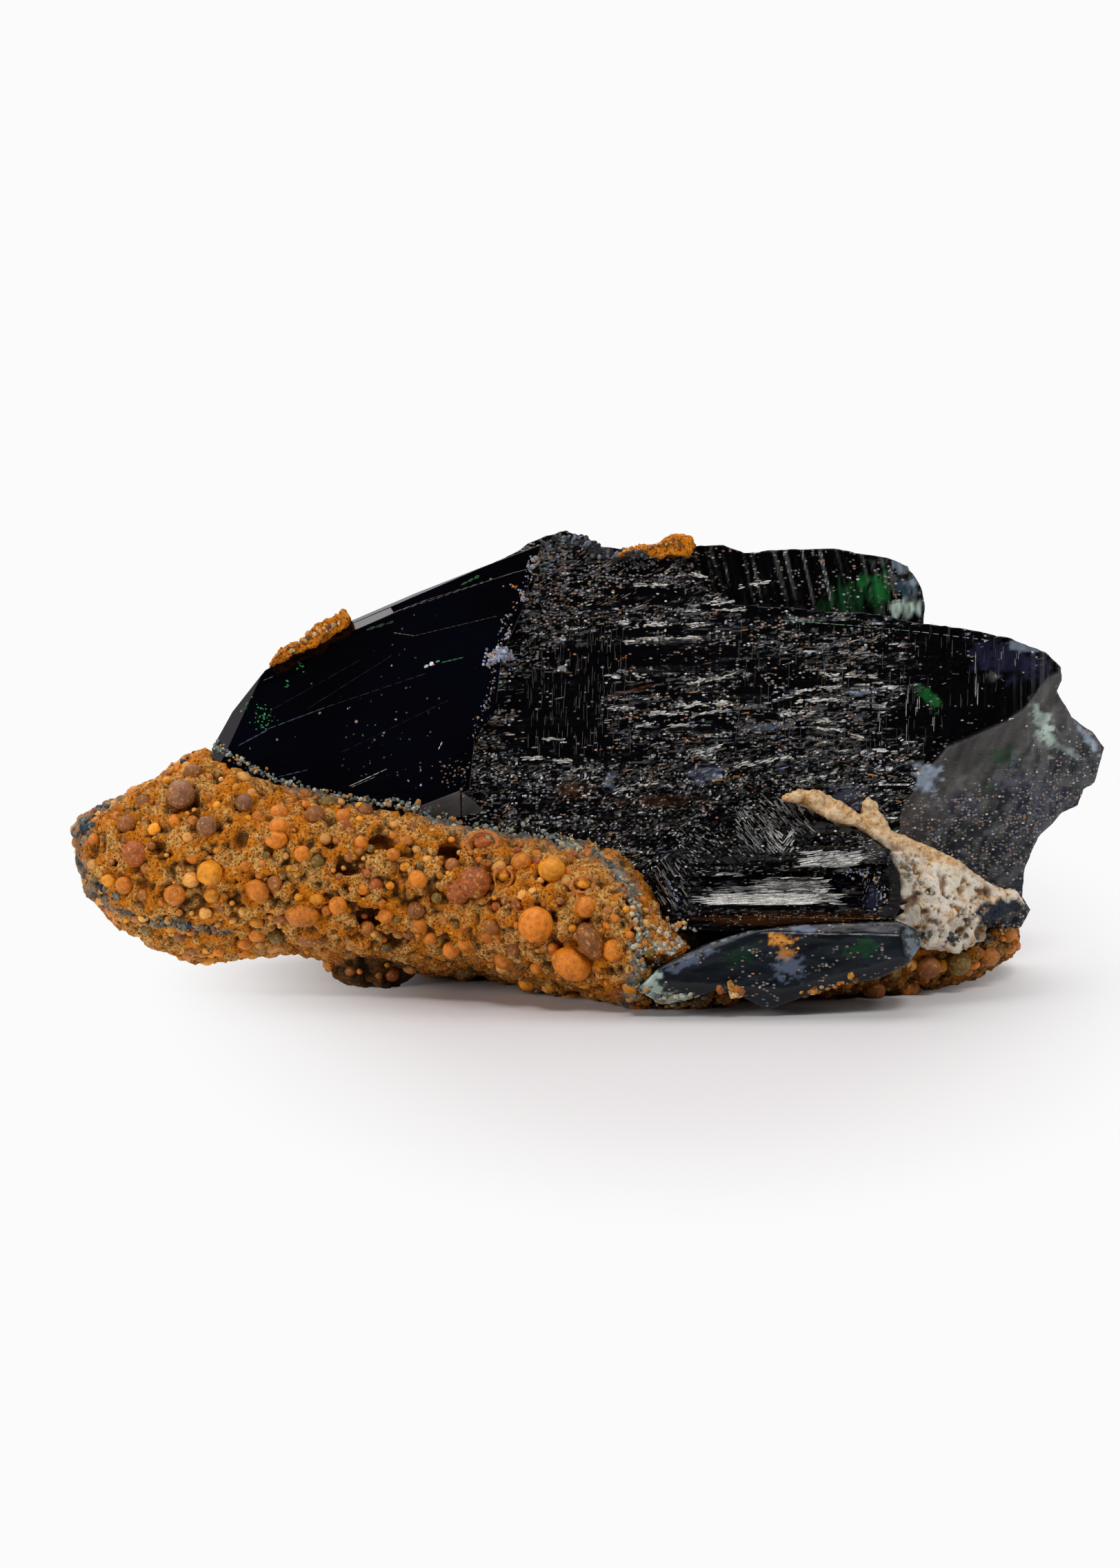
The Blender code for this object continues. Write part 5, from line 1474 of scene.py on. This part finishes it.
def strewn_slivers(tries, seed):
    """Random slivers where the face is splintered, each turned as its part of the face is."""
    rng = np.random.RandomState(seed)
    across, up = rng.uniform(-11.5, 44.0, tries), rng.uniform(8.0, 43.5, tries)
    points = face_points(across, up)
    floor_line = np.interp(across, (-12, -5.6, 1.7, 6, 14, 22, 29, 34, 40, 43),
                           (15.5, 14.0, 11.5, 11.5, 14.5, 15.5, 14.5, 11, 8.5, 8.5))
    roof = np.interp(across, (-11.5, -8.5, -4.5, -2.0, 1.0, 8, 14, 27, 36, 44),
                     (22.0, 35.0, 42.6, 43.2, 41.8, 40.6, 36.4, 35.4, 34.0, 31.8))
    edge = np.interp(up, (15, 23, 28, 32, 36, 40, 43), (-12.0, -10.6, -8.9, -8.3, -6.2, -5.0, -3.5))
    notch = np.interp(up, (8, 11, 14, 17, 19), (40.8, 41.2, 42.4, 45.0, 47.0))
    chance = slab_dust_and_glints(points) * 1.1 * (up > floor_line) * (up < roof) * (across > edge) * (across < notch)
    kept = np.flatnonzero(rng.rand(tries) < chance ** 1.3)
    hackly = eased(23.5 - up, 0.0, 3.0)
    crest = eased(up - 35.0, 0.0, 2.5) * (1 - eased(across, 8.0, 16.0))
    lean = 6 + 6 * grain(points, 5.0, 371) + 26 * crest
    lean = lean + hackly * 30 * grain(points, (3.0, 1.0, 2.0), 372) + rng.normal(0, 6, tries)
    depths = slab_front(across[kept], up[kept])
    made = []
    # The pale shades are painted glints; the greys, blues, amber and rust are dust. The factor glow dims each at
    # random.
    shades = np.array([ASH, ASH, (0.30, 0.24, 0.18), GLINT_CREAM, GLINT_WHITE, (0.15, 0.19, 0.30), SKY, AMBER, (0.30, 0.13, 0.04)])
    for index, depth in zip(kept, depths):
        glow = 0.12 + 0.88 * rng.rand() ** 2.5
        shape = Matrix.Translation((across[index], depth - 0.01, up[index]))
        shape @= Matrix.Rotation(math.radians(-lean[index]), 4, "Y")
        length = 0.12 + 0.55 * rng.rand() ** 2.2
        shape @= Matrix.Diagonal((length, 0.04, 0.035 + 0.05 * rng.rand(), 1.0))
        made.append((shape, shades[rng.randint(len(shades))] * glow))
    return made


def foot_surface(across, up):
    """The stub where it stands in front, and the slab above it."""
    return np.minimum(stub_surface(across, up), slab_front(across, up))


def stub_slivers():
    rng = random.Random(37)
    made = []
    for (left, right), (low, high), turn, count, lengths, glow in STRIPED_FACES:
        for _ in range(count):
            a, u = rng.uniform(left, right), rng.uniform(low, high)
            # Painted sheen: each stripe sliver is white, dimmed by its face's glow.
            shade = np.array((0.98, 0.96, 0.90)) * (glow[0] + (glow[1] - glow[0]) * rng.random() ** 1.7)
            length, height = rng.uniform(*lengths), rng.uniform(0.07, 0.17)
            made.append((sliver(foot_surface, a, u, length, height, turn + rng.gauss(0, 3.0)), shade))
    made += sliver_line(stub_surface, (16.5, 6.55), (29.0, 6.3), 0.12, (0.50, 0.22, 0.06), rng, 22)
    made += sliver_line(stub_surface, (7.6, 10.0), (8.5, 7.9), 0.22, (0.22, 0.30, 0.48), rng, 4)
    return [(shape, shade) for shape, shade in made if shape.translation.y < 50]


def ghost_lines(count, seed):
    """Faint upright lines on the intact, black right half of the face."""
    rng = random.Random(seed)
    made = []
    for _ in range(count):
        a, u = rng.choice((rng.uniform(14, 40), rng.uniform(-6, 4))), rng.uniform(22, 34.5)
        if below_rim(np.array([a]), np.array([u - 1.5]))[0] > -0.6 or u > 34.0 - max(0, a - 36) * 0.4:
            continue
        shade = np.array((0.052, 0.048, 0.046)) * rng.uniform(0.25, 1.5)
        length, height = rng.uniform(0.6, 3.6), rng.uniform(0.04, 0.09)
        made.append((sliver(slab_front, a, u, length, height, 88 + rng.gauss(0, 2), 0.03), shade))
    return made


def sparkling_sliver(name, ior):
    material, tree = new_finish(name, ior)
    where = laid_out(tree)
    fade = stepped(tree, cloudy(tree, where, 5.0, 3.0, 0.7), [(0.30, 0.35), (0.60, 1.0)])
    gloss = stepped(tree, cloudy(tree, where, 2.0, 2.0), [(0.35, 0.22), (0.70, 0.50)])
    bump = bumped(tree, cloudy(tree, where, 6.0, 2.0), 0.04, 0.6)
    return wired(material, mixed(tree, 1.0, tone(tree, "sheen"), fade, "MULTIPLY"), bump, gloss)


def place_slivers(name, rows, finish):
    shapes, shades = zip(*rows)
    place_piece(name, many_copies(name, flake, shapes, "sheen", np.array(shades)), finish)


flake = ball(1)
sparkle = sparkling_sliver("sparkling_sliver", 1.5)
SLIVER_TRIES, GHOST_LINES = 30000, 420
place_slivers("strewn_slivers", strewn_slivers(SLIVER_TRIES, 33) + ghost_lines(GHOST_LINES, 35), sparkle)
place_slivers("pearly_slivers", seen_slivers() + stub_slivers(), sparkling_sliver("pearly_sliver", 2.1))

# %% [markdown]
# The smooth blade has few marks, and each one tells: a violet crease, whose line is a painted reflection, a bright chip
# with green beside it, painted white, magenta and green as a glint, a few scratches above the ironstone, and two thin
# lines under its top edge, the upper, pink one a painted reflection along the front sheet's edge. A dull grey triangle
# lies at its foot, its grey a painted reflection of the table.

# %% Marks on the blade
BLADE_LINES = [
    # The violet crease: its line is a painted reflection.
    ((-33.8, 22.9), (-31.0, 24.4), 0.10, (0.10, 0.11, 0.20), 4),
    ((-31.0, 24.5), (-25.4, 26.6), 0.09, (0.10, 0.11, 0.22), 6),
    ((-25.4, 26.6), (-15.6, 29.9), 0.05, (0.035, 0.035, 0.07), 9),
    # The bright chip: white, magenta and green slivers, a painted glint.
    ((-15.9, 30.45), (-14.9, 30.9), 0.42, (0.98, 0.98, 0.94), 2),
    ((-15.1, 30.65), (-14.8, 30.75), 0.16, (0.75, 0.08, 0.45), 1),
    ((-14.8, 30.95), (-14.3, 31.1), 0.16, (0.05, 0.50, 0.12), 1),
    ((-14.2, 30.9), (-12.1, 31.4), 0.14, (0.02, 0.14, 0.04), 4),
    ((-31.4, 29.2), (-30.4, 29.6), 0.08, (0.20, 0.19, 0.18), 2),
    ((-21.4, 34.1), (-18.7, 34.9), 0.30, (0.010, 0.050, 0.020), 3),
    ((-12.3, 38.4), (-10.5, 39.3), 0.30, (0.015, 0.13, 0.045), 3),
    # The pink line along the front sheet's top edge: a painted reflection.
    ((-18.8, 35.75), (-15.5, 37.0), 0.06, (0.32, 0.20, 0.20), 4),
    ((-15.5, 37.0), (-7.4, 39.5), 0.05, (0.22, 0.13, 0.13), 10),
    ((-18.8, 33.8), (-16.8, 33.5), 0.09, (0.22, 0.15, 0.09), 5),
    ((-16.8, 33.5), (-8.8, 35.4), 0.05, (0.14, 0.10, 0.07), 14),
    ((-14.5, 22.5), (-14.1, 23.3), 0.13, (0.75, 0.74, 0.70), 2),
    ((-23.1, 19.0), (-19.4, 20.7), 0.08, (0.60, 0.55, 0.48), 5),
    ((-22.9, 18.9), (-20.6, 19.9), 0.06, (0.42, 0.38, 0.34), 4),
    ((-25.6, 17.8), (-23.8, 18.35), 0.20, (0.80, 0.78, 0.72), 4),
    ((-22.9, 17.0), (-21.0, 17.8), 0.15, (0.62, 0.58, 0.50), 5),
    ((-30.0, 19.9), (-27.0, 20.6), 0.07, (0.10, 0.11, 0.16), 4),
    ((-34.6, 20.4), (-31.0, 20.2), 0.12, (0.12, 0.15, 0.20), 5),
    ((-27.2, 26.4), (-19.0, 31.6), 0.035, (0.030, 0.032, 0.05), 8),
    ((-30.5, 26.4), (-22.0, 31.2), 0.035, (0.024, 0.026, 0.045), 8),
    ((-24.0, 22.2), (-13.5, 27.3), 0.035, (0.022, 0.024, 0.04), 9),
]
BLADE_SPECKS = [
    (-27.9, 30.7, 0.6, 8, (0.02, 0.40, 0.07)), (-31.4, 25.8, 1.3, 46, (0.01, 0.26, 0.05)),
    (-29.2, 28.8, 0.4, 6, (0.02, 0.30, 0.06)),
    (-33.1, 26.6, 0.5, 9, (0.01, 0.20, 0.05)), (-18.0, 27.0, 6.0, 22, (0.10, 0.08, 0.06)),
    (-21.0, 21.5, 5.0, 26, (0.14, 0.10, 0.07)),
    (-21.1, 21.3, 0.2, 2, (0.65, 0.25, 0.04)), (-13.5, 20.5, 1.6, 40, (0.30, 0.20, 0.12)),
    (-19.2, 30.6, 0.2, 1, (0.70, 0.55, 0.40)),
]


def blade_marks():
    rng = random.Random(41)
    made = []
    for start, end, height, shade, pieces in BLADE_LINES:
        made += sliver_line(blade_depth, start, end, height, shade, rng, pieces)
    for across, up, spread, count, shade in BLADE_SPECKS:
        for _ in range(count):
            a, u = rng.gauss(across, spread / 2), rng.gauss(up, spread / 2)
            size = rng.uniform(0.07, 0.20)
            shape = sliver(blade_depth, a, u, size * 1.4, size, rng.uniform(-40, 60), 0.03)
            made.append((shape, np.array(shade) * rng.uniform(0.3, 1.2)))
    return made


place_slivers("blade_marks", blade_marks(), sparkle)

# %% [markdown]
# The grey triangle at the blade's foot is two thin flakes that meet at a fold, dull where the blade is polished, and
# painted grey, a painted reflection of the table that the foot faces.

# %% The dull triangle
def dull_facet(corners, lift, name):
    """A thin flake over the blade's foot, from its corners in the face frame."""
    bm = bmesh.new()
    face = bm.faces.new([bm.verts.new((a, float(blade_depth(a, u)) - lift - extra, u)) for a, u, extra in corners])
    grown = bmesh.ops.extrude_face_region(bm, geom=[face], use_keep_orig=True)
    bmesh.ops.translate(bm, verts=[g for g in grown["geom"] if isinstance(g, bmesh.types.BMVert)], vec=(0, 0.6, 0))
    bmesh.ops.recalc_face_normals(bm, faces=bm.faces)
    bmesh.ops.bevel(bm, geom=bm.edges[:], offset=0.05, offset_type="OFFSET", segments=1, profile=0.5, material=-1,
                    affect="EDGES", clamp_overlap=True)
    return mesh_of(name, bm)


# Painted reflection: the flakes' grey stands in for the table that the blade's foot mirrors.
def painted_reflection_facet():
    material, tree = new_finish("painted_reflection_facet", 1.5)
    body = stepped(tree, cloudy(tree, laid_out(tree, (0.4, 1.0, 1.0), 20.0), 1.0, 4.0), [
        (0.35, (0.042, 0.037, 0.040)), (0.75, (0.085, 0.076, 0.078))])
    colour, _ = dust_and_glint_grains(tree, body, 0.06, (3.4, 3.4, 3.4))
    return wired(material, colour, bumped(tree, cloudy(tree, laid_out(tree), 3.0, 3.0), 0.03, 0.4))


painted_reflection = painted_reflection_facet()
place_piece("dull_triangle_left", dull_facet(
    [(-17.3, 16.7, 0), (-12.4, 18.6, 0.25), (-12.3, 15.2, 0.25), (-14.7, 15.6, 0)], 0.10, "left"), painted_reflection)
place_piece("dull_triangle_right", dull_facet(
    [(-12.2, 18.5, 0.25), (-8.6, 15.4, 0), (-11.3, 14.4, 0), (-12.2, 15.2, 0.25)], 0.10, "right"), painted_reflection)

# %% [markdown]
# Where two crystals or a crystal and the ironstone meet, the join is crusted with crumbs: pale earth, blue
# vivianite dust, rust. Each row below is a path in the face frame, how far its crumbs stray, how many there are,
# their size and a palette. A crumb is dropped along the line of sight onto whatever surface is there.

# %% Crumbs
PALETTES = {
    "rind": [(0.34, 0.38, 0.33), (0.20, 0.25, 0.23), (0.56, 0.58, 0.46), (0.70, 0.56, 0.34), (0.12, 0.16, 0.16),
             (0.62, 0.24, 0.04)],
    "dark_rind": [(0.06, 0.08, 0.09), (0.12, 0.15, 0.15), (0.22, 0.26, 0.25), (0.30, 0.16, 0.06), (0.03, 0.04, 0.05)],
    "crust": [(0.28, 0.32, 0.46), (0.50, 0.24, 0.06), (0.40, 0.38, 0.36), (0.60, 0.46, 0.30), (0.10, 0.12, 0.18)],
    "blue": [(0.36, 0.42, 0.62), (0.24, 0.30, 0.48), (0.50, 0.54, 0.64), (0.50, 0.26, 0.09)],
    "rust": [(0.66, 0.21, 0.02), (0.80, 0.36, 0.05), (0.34, 0.10, 0.02), (0.85, 0.55, 0.25), (0.20, 0.07, 0.02)],
    "cream": [(0.85, 0.72, 0.55), (0.80, 0.50, 0.22), (0.75, 0.28, 0.04), (0.90, 0.84, 0.76), (0.45, 0.48, 0.42)],
    "knob": [(0.02, 0.02, 0.03), (0.04, 0.04, 0.05), (0.16, 0.19, 0.24), (0.10, 0.09, 0.08), (0.01, 0.01, 0.02),
             (0.01, 0.01, 0.01)],
}
CRUMB_PATHS = [
    ([(-17.5, 17.3), (-14.2, 15.7), (-10.2, 14.6), (-5.6, 14.1), (-1.6, 13.6), (1.7, 11.9), (4.0, 9.3), (5.0, 5.8),
      (4.9, 1.8), (3.6, -1.5)], 0.55, 620, (0.12, 0.38), "rind"),
    ([(-36.4, 23.2), (-34.1, 21.8), (-30.1, 19.6), (-26.1, 18.5), (-20.8, 17.4), (-17.5, 17.2)], 0.40, 260,
     (0.10, 0.30), "rind"),
    ([(-50.0, 13.1), (-48.0, 16.4), (-44.7, 19.7), (-40.7, 22.0), (-36.7, 23.3)], 0.75, 420, (0.14, 0.42), "dark_rind"),
    ([(-49.6, 12.4), (-48.0, 10.0), (-45.0, 7.6), (-42.7, 6.4), (-38.0, 5.4), (-34.7, 5.1)], 0.50, 170, (0.12, 0.34),
     "dark_rind"),
    ([(-5.6, 39.5), (-6.3, 37.3), (-8.2, 35.0), (-8.6, 31.6), (-9.5, 27.7), (-10.9, 24.3), (-12.2, 18.4)], 0.42, 210,
     (0.04, 0.15), "crust"),
    ([(-9.4, 31.3), (-8.6, 31.9), (-7.7, 31.5)], 0.55, 200, (0.10, 0.30), "blue"),
    ([(-6.5, 37.8), (-6.2, 36.8)], 0.25, 26, (0.08, 0.20), "blue"),
    ([(-7.6, 34.2), (-7.9, 33.2)], 0.22, 22, (0.08, 0.18), "blue"),
    ([(-7.5, 38.4), (-7.1, 38.2)], 0.15, 9, (0.08, 0.16), "rust"),
    ([(-5.8, 39.6), (-5.2, 40.6), (-4.2, 41.6)], 0.35, 60, (0.08, 0.24), "crust"),
    ([(-4.4, 42.0), (-2.6, 42.9), (-0.8, 42.7), (0.6, 41.9), (2.6, 41.2), (5.6, 41.0)], 0.55, 260, (0.10, 0.36),
     "knob"),
    ([(3.4, 41.9), (4.6, 42.0), (6.6, 42.3), (8.3, 42.6), (9.0, 42.2)], 0.22, 90, (0.10, 0.26), "rust"),
    ([(6.4, 5.6), (8.2, 5.4), (10.0, 4.6), (8.0, 3.6), (6.0, 3.6)], 0.75, 300, (0.12, 0.42), "cream"),
    ([(4.4, 0.6), (5.4, -0.8), (7.4, -1.6), (9.6, -1.5), (11.6, -1.2)], 0.55, 320, (0.12, 0.42), "rind"),
    ([(20.4, -1.1), (22.6, -0.7), (24.4, -0.4), (26.0, 0.2)], 0.55, 150, (0.16, 0.50), "rust"),
    ([(12.0, -1.2), (14.4, -1.8), (16.4, -2.3), (18.4, -2.2)], 0.45, 110, (0.12, 0.36), "rust"),
    ([(12.5, -0.9), (14.4, -0.8)], 0.5, 50, (0.35, 0.75), "rust"),
    ([(11.0, 6.6), (19.0, 6.4), (28.0, 6.3)], 0.7, 260, (0.04, 0.12), "rust"),
    ([(9.2, 23.3), (11.4, 23.8)], 0.16, 26, (0.04, 0.13), "rust"),
    ([(12.4, 19.7), (15.2, 20.1)], 0.18, 24, (0.04, 0.12), "rust"),
    ([(0.5, 22.4), (2.5, 22.8)], 0.15, 18, (0.04, 0.12), "rust"),
    ([(2.0, 30.5), (3.6, 31.5)], 0.16, 20, (0.04, 0.13), "rust"),
    ([(11.2, 35.2), (12.8, 36.0)], 0.15, 12, (0.04, 0.10), "rust"),
    ([(17.6, 4.6), (19.0, 4.4), (19.4, 2.8)], 0.75, 70, (0.07, 0.22), "rust"),
    ([(18.2, 2.4), (20.6, 1.4), (21.0, 5.3)], 0.7, 60, (0.05, 0.16), "blue"),
    ([(6.0, 2.0), (9.6, 3.6), (14.0, 5.2)], 0.3, 70, (0.05, 0.16), "dark_rind"),
    ([(24.6, 10.8), (27.6, 10.4), (28.4, 8.4), (27.6, 6.8)], 0.5, 60, (0.06, 0.20), "blue"),
    ([(29.6, 12.8), (31.0, 10.6), (33.4, 8.4), (37.0, 6.4), (41.0, 5.0)], 0.8, 130, (0.10, 0.30), "cream"),
    ([(30.0, 4.8), (33.0, 4.4), (36.5, 4.6), (39.5, 4.4)], 0.45, 120, (0.12, 0.32), "dark_rind"),
    ([(-38.2, 22.6), (-36.0, 24.4), (-35.2, 25.4)], 0.28, 60, (0.10, 0.26), "rust"),
    ([(-31.4, 31.2), (-30.0, 31.9)], 0.30, 50, (0.10, 0.28), "rust"),
    ([(-29.0, 32.4), (-26.6, 33.8), (-24.4, 34.6)], 0.42, 130, (0.10, 0.32), "rust"),
]


def crumbs_along(paths, seed):
    rng = random.Random(seed)
    shapes, shades = [], []
    for path, spread, count, sizes, palette in paths:
        lengths = [math.hypot(b[0] - a[0], b[1] - a[1]) for a, b in zip(path, path[1:])]
        for _ in range(count):
            part = rng.choices(range(len(lengths)), lengths)[0]
            t = rng.random()
            a = path[part][0] + t * (path[part + 1][0] - path[part][0]) + rng.gauss(0, spread * 0.6)
            u = path[part][1] + t * (path[part + 1][1] - path[part][1]) + rng.gauss(0, spread * 0.6)
            place, _ = seen_place(bare_specimen, a, u)
            if place is None or to_part(np.array([place[:]]))[0][2] < 0.0004:
                continue
            size = sizes[0] + (sizes[1] - sizes[0]) * rng.random() ** 1.6
            turn = Matrix.Rotation(rng.uniform(0, 6.28), 4, "Y") @ Matrix.Rotation(rng.uniform(0, 3.1), 4, "X")
            stretch = Matrix.Diagonal((size, size * rng.uniform(0.6, 1.0), size * rng.uniform(0.5, 1.0), 1.0))
            shapes.append(Matrix.Translation(place - Vector((0, 0.25 * size, 0))) @ turn @ stretch)
            shades.append(np.array(rng.choice(PALETTES[palette])) * rng.uniform(0.6, 1.15))
    return shapes, np.array(shades)


def earthy_crumb():
    material, tree = new_finish("earthy_crumb", 1.45, 0.8)
    where = laid_out(tree)
    crumb = cloudy(tree, where, 4.0, 5.0, 0.7)
    shade = stepped(tree, crumb, [(0.32, 0.30), (0.52, 0.95), (0.75, 1.30)])
    return wired(material, mixed(tree, 1.0, tone(tree, "earth"), shade, "MULTIPLY"), bumped(tree, crumb, 0.15, 0.9))


bare_specimen = tree_of([remeshed(name, 0.5, 0) for name in (
    "main_crystal", "stub_crystal", "front_blade", "shell_fossil", "ironstone_matrix", "ore_scab_left",
    "ore_scab_top")])
crumb_shapes, crumb_shades = crumbs_along(CRUMB_PATHS, 51)
crumbs = many_copies("join_crumbs", flake, crumb_shapes, "earth", crumb_shades)
place_piece("join_crumbs", crumbs, earthy_crumb())
print(len(crumb_shapes), "crumbs")
